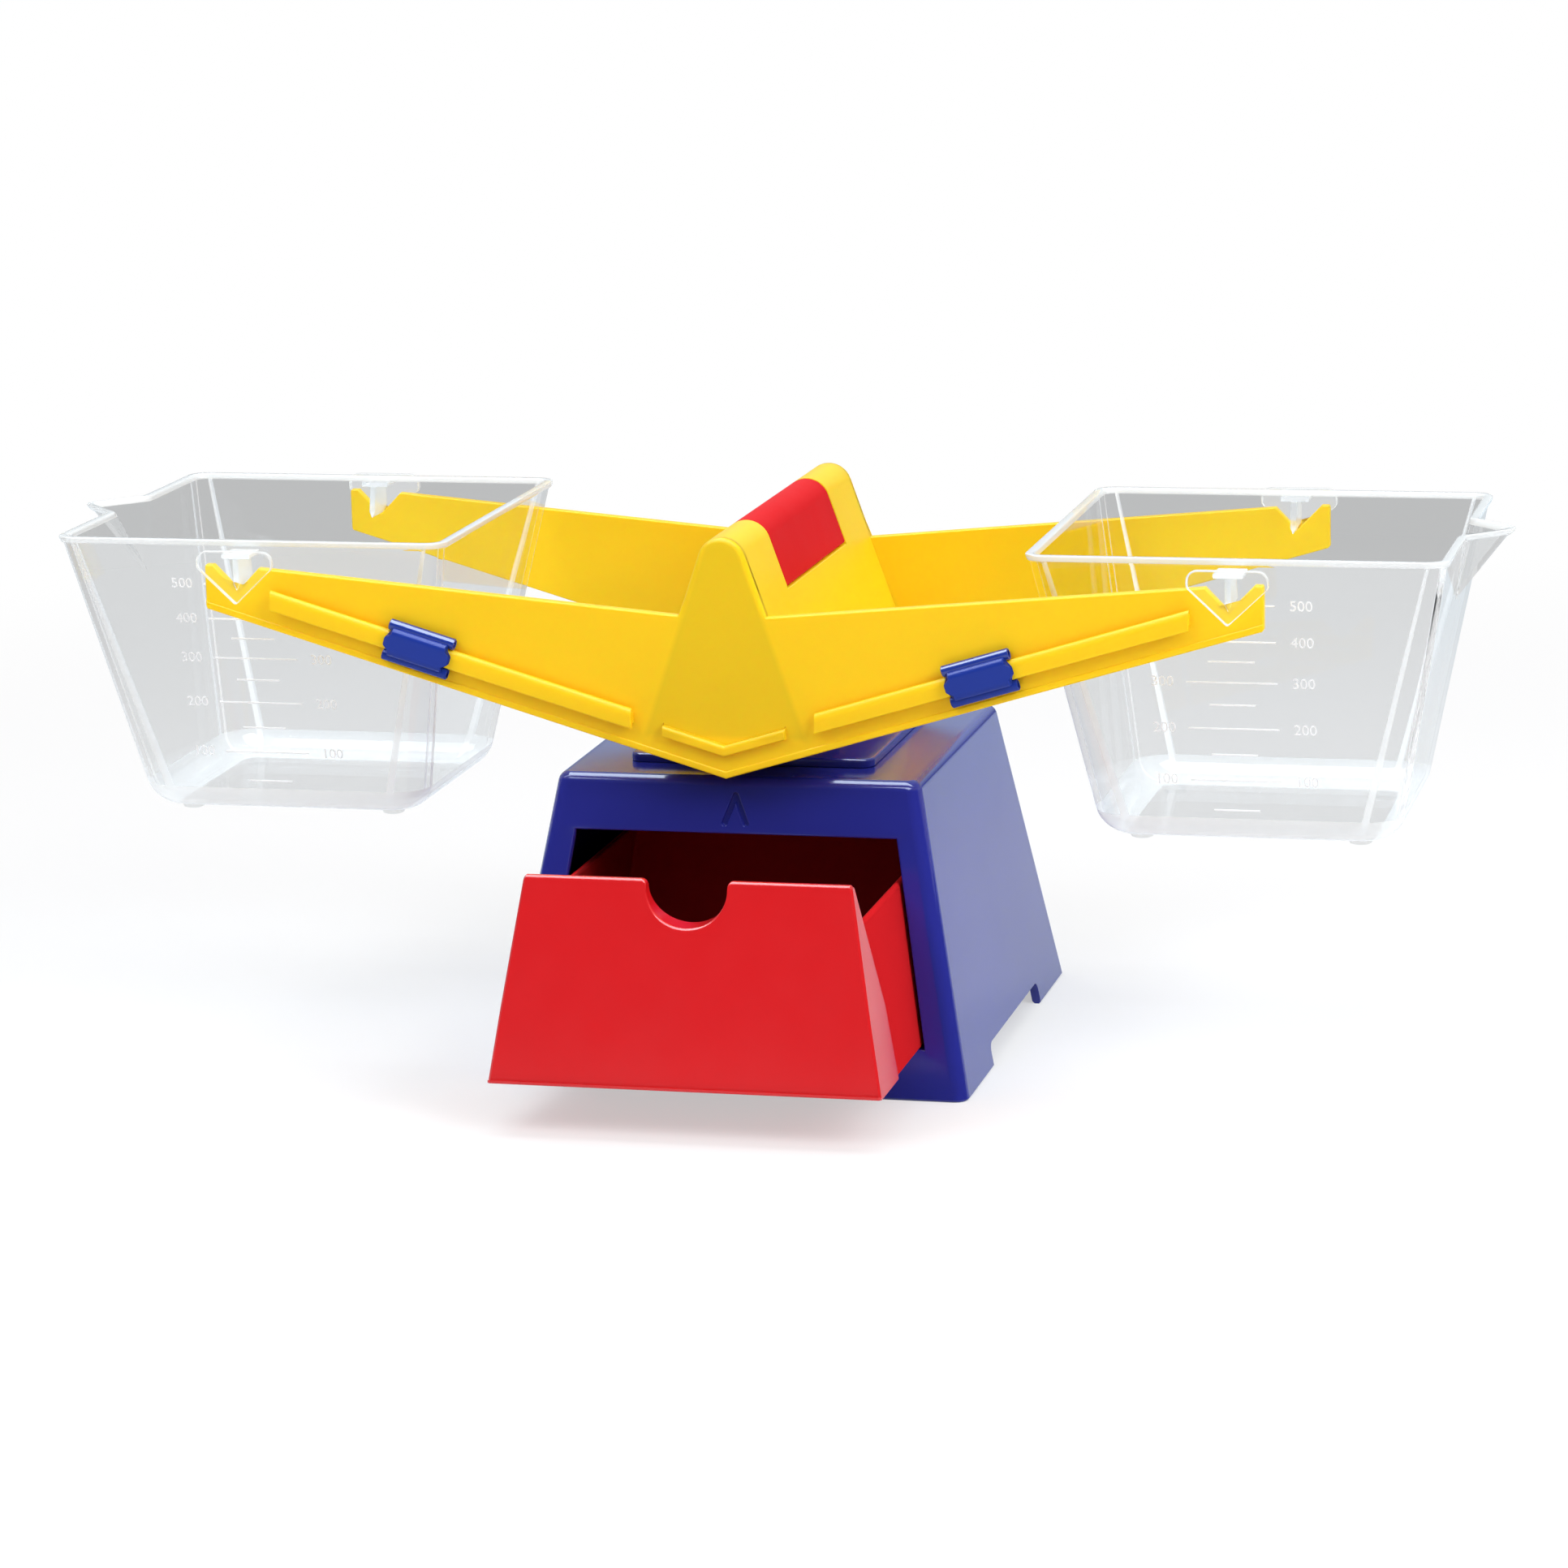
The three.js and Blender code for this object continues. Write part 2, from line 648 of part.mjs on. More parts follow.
// The bucket's form at an inset from its outside, up to a height above its floor
function bucketForm(inset, top) {
  const fillet = Math.max(bucketFloorFillet - inset, leastRadius);
  const floorZ = bucketRimRise - bucketHeight;
  const rings = [];
  for (let step = 0; step <= arcSteps; step += 1) {
    const angle = step / arcSteps * Math.PI / 2;
    const height = inset + fillet * (1 - Math.cos(angle));
    rings.push(bucketRing(height, inset + fillet * (1 - Math.sin(angle)), floorZ + height));
  }
  rings.push(bucketRing(top, inset, floorZ + top));
  return loft(rings);
}

// The pouring spout: a pointed beak at the rim that runs down to nothing on the end wall
function spoutForm(inset, top) {
  const wall = bucketLength / 2 - bucketWall;
  const taper = (bucketLength - bucketFloorLength) / 2 / bucketHeight;
  const drop = spoutDrop - inset;
  const beak = (share, z) => {
    const root = wall - taper * (bucketRimRise - z);
    const half = Math.max((spoutWidth / 2 - inset) * share, spoutRoot / 2);
    const reach = Math.max((spoutReach + bucketWall - inset) * share, spoutRoot / 2);
    const tip = Math.min(spoutTip, half) / 2;
    return [[root, -half], [root + reach, -tip], [root + reach, tip], [root, half]]
      .map(([x, y]) => new THREE.Vector3(x, y, z));
  };
  const rings = [beak(0, bucketRimRise - drop), beak(1, bucketRimRise)];
  if (top > bucketRimRise) rings.push(beak(1, top));
  return loft(rings);
}

function lug(outwards) {
  const wallInside = bucketDepth / 2 - bucketWall;
  const shieldIn = railFace + lugGap;
  const shieldOut = shieldIn + shieldThickness;
  const span = (from, to) => (outwards < 0 ? [-to, -from] : [from, to]);
  const half = shieldWidth / 2;
  const r = shieldCorner;
  const shield = new THREE.Shape();
  shield.moveTo(0, -shieldPoint);
  shield.lineTo(half, shieldShoulder);
  shield.absarc(half - r, shieldTop - r, r, 0, Math.PI / 2, false);
  shield.absarc(r - half, shieldTop - r, r, Math.PI / 2, Math.PI, false);
  shield.lineTo(-half, shieldShoulder);
  const web = polygon([
    [0, runGap], [lugWeb / 2, runGap + lugWeb], [lugWeb / 2, lugFlangeRise],
    [-lugWeb / 2, lugFlangeRise], [-lugWeb / 2, runGap + lugWeb],
  ]);
  const inside = bucketInnerDepthAt(0) + bucketWall / 2;
  const flange = box(
    [-lugFlangeWidth / 2, lugFlangeWidth / 2], span(wallInside, shieldIn + shieldThickness / 2),
    [lugFlangeRise - lugFlangeThickness, lugFlangeRise]);
  return join([
    alongY(shield, ...span(shieldIn, shieldOut)),
    alongY(web, ...span(inside, shieldIn + shieldThickness / 2)),
    flange,
  ]);
}

// Half of the bucket's inside depth at a height from the hanging line
function bucketInnerDepthAt(z) {
  const share = (z - bucketRimRise + bucketHeight) / bucketHeight;
  return THREE.MathUtils.lerp(bucketFloorDepth, bucketDepth, share) / 2 - bucketWall;
}

function bucket() {
  const bead = loft([
    bucketRing(bucketHeight - rimBeadHeight, 0, bucketRimRise - rimBeadHeight),
    bucketRing(bucketHeight - rimBeadHeight / 2, -rimBead, bucketRimRise - rimBeadHeight / 2),
    bucketRing(bucketHeight, -rimBead, bucketRimRise),
  ]);
  const floorZ = bucketRimRise - bucketHeight;
  const feet = [];
  for (const x of [-footSpacingX / 2, footSpacingX / 2]) {
    for (const y of [-footSpacingY / 2, footSpacingY / 2]) {
      feet.push(pillar(footRadius, x, y, floorZ - footHeight, floorZ + bucketWall / 2));
    }
  }
  const outside = join([
    bucketForm(0, bucketHeight), bead, spoutForm(0, bucketRimRise), lug(-1), lug(1), ...feet]);
  const inside = bucketForm(bucketWall, bucketHeight + cutPast)
    .add(spoutForm(bucketWall, bucketRimRise + cutPast));
  return outside.subtract(inside);
}

// Assembly

const blue = { color: 0x232a8c, roughness: 0.3, metalness: 0 };
const finishes = {
  base: blue,
  post: blue,
  slider: blue,
  beam: { color: 0xfcd020, roughness: 0.35, metalness: 0 },
  red: { color: 0xdc1c22, roughness: 0.3, metalness: 0 },
  clear: { color: 0xf2f5f7, roughness: 0.05, metalness: 0, transparent: true, opacity: 0.3 },
  steel: { color: 0xa8acb0, roughness: 0.35, metalness: 1 },
};

// Front and rear limits of the whole, which the origin lies midway between
const frontReach = baseDepthAt(drawerBottom) / 2 + drawerOpen;
const rearReach = baseBottomDepth / 2;

const balance = new THREE.Group();
balance.position.y = (frontReach - rearReach) / 2;

function place(name, body, finish, position = [0, 0, 0], turn = [0, 0, 0]) {
  const mesh = new THREE.Mesh(geometryOf(body), new THREE.MeshStandardMaterial(finishes[finish]));
  mesh.name = name;
  mesh.position.set(...position);
  mesh.rotation.set(...turn);
  balance.add(mesh);
}

place('base_housing', baseHousing(), 'base');
place('base_floor', baseFloor(), 'base');
cornerPlaces().forEach(([x, y], i) => {
  place(`floor_screw_${i + 1}`, screw(), 'steel', [x, y, floorBottom - seatGap]);
});
place('fulcrum_post', fulcrumPost(), 'post');
postScrewPlaces().forEach((y) => {
  const name = y < 0 ? 'post_screw_front' : 'post_screw_rear';
  place(name, screw(), 'steel', [0, y, topUnderside - seatGap]);
});
place('drawer', drawer(), 'red', [0, -drawerOpen, 0]);
place('beam', beam(), 'beam');
place('ridge_cap', ridgeCap(), 'red');

// The middle of the track's width, above the rail's lower edge
const trackMiddle = (trackOffset + trackHeadWidth / 2) / railCosine;
const tilt = Math.atan(railSlope);
const sliderZ = (x) => pointerZ + x * railSlope + trackMiddle;
place('slider_left', slider(), 'slider', [-sliderLeftAt, -railFace, sliderZ(sliderLeftAt)], [0, tilt, 0]);
place('slider_right', slider(), 'slider', [sliderRightAt, -railFace, sliderZ(sliderRightAt)], [0, -tilt, 0]);

place('bucket_left', bucket(), 'clear', [-notchX, 0, hangZ], [0, 0, Math.PI]);
place('bucket_right', bucket(), 'clear', [notchX, 0, hangZ]);

export default balance;
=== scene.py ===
import math
import bmesh
import bpy
import numpy as np
from mathutils import Matrix, Vector


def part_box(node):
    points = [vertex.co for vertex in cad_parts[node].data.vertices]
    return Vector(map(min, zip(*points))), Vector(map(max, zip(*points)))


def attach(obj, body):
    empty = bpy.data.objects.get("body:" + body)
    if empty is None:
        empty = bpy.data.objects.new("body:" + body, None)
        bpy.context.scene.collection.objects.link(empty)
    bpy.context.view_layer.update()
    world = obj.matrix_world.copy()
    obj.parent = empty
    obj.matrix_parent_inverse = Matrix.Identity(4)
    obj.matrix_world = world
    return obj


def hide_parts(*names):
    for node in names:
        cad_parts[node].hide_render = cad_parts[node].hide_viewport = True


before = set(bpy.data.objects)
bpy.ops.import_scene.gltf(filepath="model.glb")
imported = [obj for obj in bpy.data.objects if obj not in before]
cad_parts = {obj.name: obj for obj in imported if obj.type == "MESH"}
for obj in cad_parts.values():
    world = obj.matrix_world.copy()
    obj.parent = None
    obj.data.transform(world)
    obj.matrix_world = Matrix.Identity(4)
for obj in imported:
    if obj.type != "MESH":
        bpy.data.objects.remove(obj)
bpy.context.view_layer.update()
baseLow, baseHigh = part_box("base_housing")
middleY = (baseLow.y + baseHigh.y) * 500  # mm, the middle of the base in the part's frame
print("frame loaded, middle of the base at", round(middleY, 2), "mm")


# shared surface tools, all in millimetres with y counted from the middle of the base

meshSpec = {"weld": 2e-6, "sliver": 1e-7, "flatWeight": 80}


def gridPart(points, closeColumns=True, keep=None, capFirst=False, capLast=False, bands=None):
    # a surface of rows x columns points: neighbours become quads, end rows can be filled
    # bands numbers the finish of each row of quads, or of each quad
    rows, columns = points.shape[:2]
    index = np.arange(rows * columns).reshape(rows, columns)
    ring = np.concatenate([index, index[:, :1]], axis=1) if closeColumns else index
    quads = np.stack([ring[:-1, :-1], ring[:-1, 1:], ring[1:, 1:], ring[1:, :-1]], axis=-1)
    finish = np.zeros(quads.shape[:2], int)
    if bands is not None:
        finish += bands if bands.ndim == 2 else bands[:, None]
    if keep is not None:
        quads, finish = quads[keep], finish[keep]
    faces = quads.reshape(-1, 4).tolist()
    if capFirst:
        faces.append(index[0, ::-1].tolist())
    if capLast:
        faces.append(index[-1].tolist())
    finish = np.concatenate([finish.ravel(), np.zeros(int(capFirst) + int(capLast), int)])
    return points.reshape(-1, 3), faces, finish


def closedPart(x, y, z, bands=None):
    # rows of points filled at both ends; x, y and z may each be one value per row or per column
    points = np.stack(np.broadcast_arrays(x, y, z), axis=-1)
    return gridPart(points, capFirst=True, capLast=True, bands=bands)


def makePiece(name, parts, body, materials, nodes=(), smooth=38, weld=True):
    points, faces, finish, count = [], [], [], 0
    for partPoints, partFaces, partFinish in parts:
        points.append(partPoints)
        faces += [[corner + count for corner in face] for face in partFaces]
        finish.append(partFinish)
        count += len(partPoints)
    points = np.concatenate(points) + (0, middleY, 0)
    mesh = bpy.data.meshes.new(name)
    mesh.from_pydata((points / 1000).tolist(), [], faces)
    for material in materials:
        mesh.materials.append(material)
    mesh.polygons.foreach_set("material_index", np.concatenate(finish))
    work = bmesh.new()
    work.from_mesh(mesh)
    if weld:
        bmesh.ops.remove_doubles(work, verts=work.verts, dist=meshSpec["weld"])
    bmesh.ops.dissolve_degenerate(work, edges=work.edges, dist=meshSpec["sliver"])
    bmesh.ops.recalc_face_normals(work, faces=work.faces)
    work.to_mesh(mesh)
    work.free()
    mesh.shade_smooth()
    mesh.set_sharp_from_angle(angle=math.radians(smooth))
    piece = bpy.data.objects.new(name, mesh)
    bpy.context.scene.collection.objects.link(piece)
    weighted = piece.modifiers.new("evenNormals", "WEIGHTED_NORMAL")
    weighted.keep_sharp = True
    weighted.weight = meshSpec["flatWeight"]
    if nodes:
        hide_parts(*nodes)
    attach(piece, body)
    print("made", name, len(mesh.polygons), "faces")


def turned(parts, angle):
    # the same parts turned about the upright axis through the origin
    c, s = math.cos(angle), math.sin(angle)
    spin = np.array([[c, s, 0], [-s, c, 0], [0, 0, 1]])
    return [(points @ spin, faces, finish) for points, faces, finish in parts]


def moved(parts, offset):
    return [(points + np.asarray(offset, float), faces, finish) for points, faces, finish in parts]


def tapered(low, high, share):
    # a size that runs evenly from low to high
    return low + (high - low) * np.asarray(share, float)


def quarterTurn(steps):
    return np.radians(np.linspace(0, 90, steps + 1))


def arcPoints(centreU, centreV, radius, start, end, steps):
    angle = np.radians(np.linspace(start, end, steps + 1))
    return np.stack([centreU + radius * np.cos(angle), centreV + radius * np.sin(angle)], axis=1)


def roundedRing(halfX, halfY, radius, cornerSteps, sides=((), (), (), ())):
    # rectangle with rounded corners, anticlockwise; sizes may be one value per row
    # sides gives the fractions along the rear, left, front and right sides that get points of their own
    halfX, halfY, radius = (np.atleast_1d(np.asarray(v, float))[:, None] for v in (halfX, halfY, radius))
    arcs = []
    for corner, (sx, sy) in enumerate([(1, 1), (-1, 1), (-1, -1), (1, -1)]):
        angle = (corner + np.linspace(0, 1, cornerSteps + 1)) * math.pi / 2
        arcX = sx * (halfX - radius) + radius * np.cos(angle)
        arcY = sy * (halfY - radius) + radius * np.sin(angle)
        arcs.append((arcX, arcY))
    xs, ys = [], []
    for corner in range(4):
        x, y = arcs[corner]
        nextX, nextY = arcs[(corner + 1) % 4]
        share = np.asarray(sides[corner], float)[None, :]
        xs += [x, x[:, -1:] + (nextX[:, :1] - x[:, -1:]) * share]
        ys += [y, y[:, -1:] + (nextY[:, :1] - y[:, -1:]) * share]
    return np.concatenate(xs, axis=1), np.concatenate(ys, axis=1)


def turnedPart(cx, cy, steps, profile):
    # a profile of radius and height turned about an upright axis
    ring = np.linspace(0, 2 * math.pi, steps, endpoint=False)
    radius, height = np.array(profile, float).T[:, :, None]
    return closedPart(cx + radius * np.cos(ring), cy + radius * np.sin(ring), height)


def atY(outline, y):
    return np.stack([outline[:, 0], np.full(len(outline), y), outline[:, 1]], axis=1)


def alongYAxis(outline, stations, band=0):
    # a closed outline in x and z carried along y; stations are pairs of y and inset towards its middle
    outline = np.asarray(outline, float)
    centre = (outline.min(0) + outline.max(0)) / 2
    reach = (outline.max(0) - outline.min(0)) / 2
    rows = [atY(outline - (outline - centre) * (inset / reach), y) for y, inset in stations]
    return gridPart(np.array(rows), capFirst=True, capLast=True, bands=np.full(len(rows) - 1, band))


def softEnds(low, high, soft):
    # stations for alongYAxis that round off both ends
    near = soft * 0.3
    return [(low, soft), (low + near, near), (low + soft, 0),
            (high - soft, 0), (high - near, near), (high, soft)]


def filletLoop(corners, radii, steps):
    # a closed polygon whose corners are rounded by tangent arcs of the given radii
    corners = np.asarray(corners, float)
    share = np.linspace(0, 1, steps + 1)[:, None]
    points = []
    for i, radius in enumerate(radii):
        here, before, after = corners[i], corners[i - 1], corners[(i + 1) % len(corners)]
        a = (before - here) / np.linalg.norm(before - here)
        b = (after - here) / np.linalg.norm(after - here)
        half = math.acos(np.clip(a @ b, -1, 1)) / 2
        bisector = (a + b) / np.linalg.norm(a + b)
        centre = here + bisector * radius / math.sin(half)
        first = here + a * radius / math.tan(half) - centre
        last = here + b * radius / math.tan(half) - centre
        sweep = math.pi - 2 * half
        arc = (np.sin((1 - share) * sweep) * first + np.sin(share * sweep) * last) / math.sin(sweep)
        points.append(centre + arc)
    return np.concatenate(points)


# shared node tools

def feed(tree, socket, value):
    # a socket takes a link from another socket, or a plain value
    if isinstance(value, bpy.types.NodeSocket):
        tree.links.new(value, socket)
    else:
        socket.default_value = value


def feedAll(tree, node, values):
    for label, value in values.items():
        feed(tree, node.inputs[label], value)


def maths(tree, operation, *values, clamp=False):
    node = tree.nodes.new("ShaderNodeMath")
    node.operation, node.use_clamp = operation, clamp
    feedAll(tree, node, dict(enumerate(values)))
    return node.outputs[0]


def blend(tree, factor, a, b, kind="FLOAT", mode="MIX"):
    node = tree.nodes.new("ShaderNodeMix")
    node.data_type, node.blend_type = kind, mode
    feedAll(tree, node, {"Factor": factor, "A": a, "B": b})
    return node.outputs["Result"]


def smoothRange(tree, value, fromLow, fromHigh, low, high):
    node = tree.nodes.new("ShaderNodeMapRange")
    node.interpolation_type = "SMOOTHSTEP"
    feedAll(tree, node, {"Value": value, "From Min": fromLow, "From Max": fromHigh,
                         "To Min": low, "To Max": high})
    return node.outputs["Result"]


def splitPlace(tree, kind):
    # the place that is being shaded, or a ray's direction in the world, as three separate values
    place = tree.nodes.new("ShaderNodeTexCoord").outputs[kind]
    split = tree.nodes.new("ShaderNodeSeparateXYZ")
    feed(tree, split.inputs[0], place)
    return split.outputs


def chooseShader(tree, factor, first, second):
    # mixes two shaders by the factor and puts the result on the surface
    mix = tree.nodes.new("ShaderNodeMixShader")
    feedAll(tree, mix, {0: factor, 1: first, 2: second})
    feed(tree, tree.nodes["Material Output"].inputs["Surface"], mix.outputs["Shader"])


def newMaterial(name):
    material = bpy.data.materials.new(name)
    material.use_nodes = True
    return material, material.node_tree, material.node_tree.nodes["Principled BSDF"]


# finishes

skinSpec = {"clouds": (34, 3), "haze": (90, 4), "peel": (900, 2), "lumps": (260, 1), "lumpShare": 0.6,
            "sleekest": 0.05}


def buildMouldedSkin():
    # moulded plastic: slow colour clouds, finer gloss clouds and a faint orange peel
    s = skinSpec
    group = bpy.data.node_groups.new("mouldedSkin", "ShaderNodeTree")
    colour, number = "NodeSocketColor", "NodeSocketFloat"
    for label, kind in (("Color", colour), ("Clouds", number), ("Gloss", number), ("Haze", number)):
        group.interface.new_socket(name=label, in_out="INPUT", socket_type=kind)
    for label, kind in (("Color", colour), ("Roughness", number), ("Height", number)):
        group.interface.new_socket(name=label, in_out="OUTPUT", socket_type=kind)
    given = group.nodes.new("NodeGroupInput").outputs
    place = group.nodes.new("ShaderNodeTexCoord").outputs["Object"]

    def noise(scale, detail):
        texture = group.nodes.new("ShaderNodeTexNoise")
        feedAll(group, texture, {"Vector": place, "Scale": scale, "Detail": detail})
        return texture.outputs["Fac"]

    def uneven(texture, amount):
        # swings about zero by the given amount
        return maths(group, "MULTIPLY", maths(group, "SUBTRACT", texture, 0.5), amount)

    shade = maths(group, "ADD", 1.0, uneven(noise(*s["clouds"]), given["Clouds"]))
    tint = group.nodes.new("ShaderNodeVectorMath")
    tint.operation = "SCALE"
    feedAll(group, tint, {0: given["Color"], "Scale": shade})
    rough = maths(group, "ADD", given["Gloss"], uneven(noise(*s["haze"]), given["Haze"]))
    lumps = maths(group, "MULTIPLY", noise(*s["lumps"]), s["lumpShare"])
    feedAll(group, group.nodes.new("NodeGroupOutput"), {
        "Color": tint.outputs["Vector"], "Roughness": maths(group, "MAXIMUM", rough, s["sleekest"]),
        "Height": maths(group, "ADD", noise(*s["peel"]), lumps)})
    return group


mouldedSkin = buildMouldedSkin()


def addSkin(tree, look):
    skin = tree.nodes.new("ShaderNodeGroup")
    skin.node_tree = mouldedSkin
    feedAll(tree, skin, {"Color": (*look["colour"], 1), "Clouds": look["clouds"],
                         "Gloss": look["gloss"], "Haze": look["haze"]})
    return skin.outputs


def addPeel(tree, skin, strength, distance):
    bump = tree.nodes.new("ShaderNodeBump")
    feedAll(tree, bump, {"Strength": strength, "Distance": distance, "Height": skin["Height"]})
    return bump.outputs["Normal"]


plasticSpec = {"bend": 1.5, "peelDepth": 0.00004, "bleedRadius": (1.0, 0.4, 0.05), "bleedScale": 0.0025}


def plasticFinish(name, look):
    s = plasticSpec
    material, tree, shader = newMaterial(name)
    skin = addSkin(tree, look)
    feedAll(tree, shader, {
        "Base Color": skin["Color"], "Roughness": skin["Roughness"], "IOR": s["bend"],
        "Normal": addPeel(tree, skin, look["peel"], s["peelDepth"]), "Specular IOR Level": look["shine"]})
    if "bleed" in look:  # light that spreads inside the plastic
        feedAll(tree, shader, {"Subsurface Weight": look["bleed"], "Subsurface Radius": s["bleedRadius"],
                               "Subsurface Scale": s["bleedScale"]})
    return material


finishLooks = {
    "blue": {"colour": (0.018, 0.022, 0.25), "clouds": 0.10, "gloss": 0.14, "haze": 0.1, "peel": 0.12,
             "shine": 0.5},
    "clipBlue": {"colour": (0.013, 0.036, 0.29), "clouds": 0.08, "gloss": 0.2, "haze": 0.1, "peel": 0.12,
                 "shine": 0.18},
    "rollBlue": {"colour": (0.013, 0.036, 0.29), "clouds": 0.08, "gloss": 0.12, "haze": 0.08, "peel": 0.08,
                 "shine": 0.7},
    "yellow": {"colour": (0.965, 0.618, 0.010), "clouds": 0.05, "gloss": 0.4, "haze": 0.1, "peel": 0.2,
               "shine": 0.14, "bleed": 0.35},
    "red": {"colour": (0.65, 0.0085, 0.012), "clouds": 0.07, "gloss": 0.22, "haze": 0.1, "peel": 0.15,
            "shine": 0.5},
    "trayRed": {"colour": (0.56, 0.013, 0.017), "clouds": 0.08, "gloss": 0.5, "haze": 0.15, "peel": 0.3,
                "shine": 0.0},
    # painted shade: the tray's inside is painted dark for the shade inside the drawer
    "paintedShadeRed": {"colour": (0.30, 0.008, 0.009), "clouds": 0.12, "gloss": 0.5, "haze": 0.2, "peel": 0.4,
                  "shine": 0.2},
    "capRed": {"colour": (0.66, 0.008, 0.011), "clouds": 0.07, "gloss": 0.5, "haze": 0.1, "peel": 0.2,
               "shine": 0.04},
    "print": {"colour": (0.93, 0.94, 0.95), "clouds": 0.04, "gloss": 0.5, "haze": 0.1, "peel": 0.3,
              "shine": 0.3},
}
finishes = {name: plasticFinish(name + "Plastic", look) for name, look in finishLooks.items()}


# painted shade: size and tone of the darker triangle painted on the rails' outer faces in front of the tent
gablePaintedShade = {"half": 0.0117, "height": 0.1311, "slope": 0.3482, "soft": 0.0016, "low": 0.097, "face": 0.0640,
             "shade": (0.86, 0.90, 0.95)}


def shadeGable(material, look):
    # painted shade: the rails are thin enough for the tent behind them to show, so a slightly darker,
    # soft-edged triangle is painted into the rails' colour
    tree = material.node_tree
    colour = tree.nodes["Principled BSDF"].inputs["Base Color"]
    plain = colour.links[0].from_socket
    x, y, z = splitPlace(tree, "Object")
    half = maths(tree, "MULTIPLY_ADD", z, -look["slope"], look["half"] + look["slope"] * look["height"])
    within = maths(tree, "SUBTRACT", half, maths(tree, "ABSOLUTE", x))
    inside = maths(tree, "DIVIDE", within, look["soft"], clamp=True)
    above = maths(tree, "DIVIDE", maths(tree, "SUBTRACT", z, look["low"]), look["soft"], clamp=True)
    fromMiddle = maths(tree, "ABSOLUTE", maths(tree, "SUBTRACT", y, middleY / 1000))
    outer = maths(tree, "GREATER_THAN", fromMiddle, look["face"])
    # painted shade mask: inside the triangle, above its low edge, on the rails' outer faces only
    paintedShadeMask = maths(tree, "MULTIPLY", maths(tree, "MULTIPLY", inside, above), outer)
    feed(tree, colour, blend(tree, paintedShadeMask, plain, (*look["shade"], 1), "RGBA", "MULTIPLY"))


shadeGable(finishes["yellow"], gablePaintedShade)


clearSpec = {"clouds": 0.02, "haze": 0.05, "peel": 0.06, "peelDepth": 0.00003, "shadow": (0.9, 0.91, 0.92, 1)}


def clearFinish(name, look):
    # clear plastic; rays from lamps pass through it, so that the shadow stays pale
    material, tree, shader = newMaterial(name)
    skin = addSkin(tree, look)
    behind = tree.nodes.new("ShaderNodeNewGeometry").outputs["Backfacing"]
    feedAll(tree, shader, {
        "Base Color": blend(tree, behind, skin["Color"], (*look["behind"], 1), "RGBA"),
        "Roughness": look["gloss"], "IOR": look["bend"], "Transmission Weight": look["through"],
        "Coat Weight": look["coat"], "Normal": addPeel(tree, skin, look["peel"], look["peelDepth"])})
    through = tree.nodes.new("ShaderNodeBsdfTransparent")
    through.inputs["Color"].default_value = look["shadow"]
    shadowRay = tree.nodes.new("ShaderNodeLightPath").outputs["Is Shadow Ray"]
    chooseShader(tree, shadowRay, shader.outputs["BSDF"], through.outputs["BSDF"])
    return material


# the edge and bend finishes are whiter and less clear than the wall: painted highlights for the light that
# rims, lugs, corners and the floor's rounding catch
clearLooks = {
    "clearWall": {"colour": (0.95, 0.96, 0.965), "behind": (0.97, 0.97, 0.97), "gloss": 0.02, "bend": 1.005,
                  "through": 1.0, "coat": 0.6},
    "clearEdgeGlint": {"colour": (0.90, 0.91, 0.90), "behind": (0.95, 0.95, 0.95), "gloss": 0.12, "bend": 1.25,
                  "through": 0.4, "coat": 0.3},
    "clearBendGlint": {"colour": (0.96, 0.97, 0.97), "behind": (0.97, 0.97, 0.97), "gloss": 0.06, "bend": 1.005,
                  "through": 0.6, "coat": 0.8},
    "clearInside": {"colour": (0.75, 0.77, 0.78), "behind": (0.97, 0.97, 0.97), "gloss": 0.02, "bend": 1.005,
                    "through": 1.0, "coat": 0.4},
}
clearFinishes = [clearFinish(name, {**clearSpec, **look}) for name, look in clearLooks.items()]


steelLook = {"colour": (0.39, 0.41, 0.43), "clouds": 0.25, "gloss": 0.32, "haze": 0.3}


def steelFinish(look):
    material, tree, shader = newMaterial("screwSteel")
    skin = addSkin(tree, look)
    feedAll(tree, shader, {"Base Color": skin["Color"], "Roughness": skin["Roughness"], "Metallic": 1.0})
    return material


def refinish(node, material):
    node.data.materials.clear()
    node.data.materials.append(material)


steel = steelFinish(steelLook)
print("finishes ready")


# base housing

baseSpec = {
    "height": 84.5, "topWidth": 101.5, "topDepth": 108, "bottomWidth": 133, "bottomDepth": 142, "wall": 2.5,
    "corner": 4, "innerCorner": 0.8, "topFillet": 2.5, "footEdge": 0.6,
    "sill": 13.6, "openingTop": 69.3, "sideTop": 8.5, "sideBottom": 9.7, "edge": 0.6,
    "archLength": 68, "archHeight": 6.5, "archCorner": 3, "archBand": 8,
    "postInset": 5.7, "postRadius": 3.6, "postHole": 1.6, "postLow": 13.8, "postTop": 19.5, "holeTop": 19,
}
engravedSpec = {
    "tip": 80.7, "height": 8, "width": 8, "stroke": 1.5, "depth": 1.0, "soft": 0.35, "spread": 0.15,
    "patchLow": 71.2, "patchHigh": 81.9, "patchHalf": 5.5, "middle": 1.5, "apart": 8, "steps": 97,
}


def baseHalfWidth(z):
    s = baseSpec
    return tapered(s["bottomWidth"], s["topWidth"], np.asarray(z, float) / s["height"]) / 2


def baseHalfDepth(z):
    s = baseSpec
    return tapered(s["bottomDepth"], s["topDepth"], np.asarray(z, float) / s["height"]) / 2


def openingHalf(z):
    s = baseSpec
    low = baseHalfWidth(s["sill"]) - s["sideBottom"]
    high = baseHalfWidth(s["openingTop"]) - s["sideTop"]
    return tapered(low, high, (np.asarray(z, float) - s["sill"]) / (s["openingTop"] - s["sill"]))


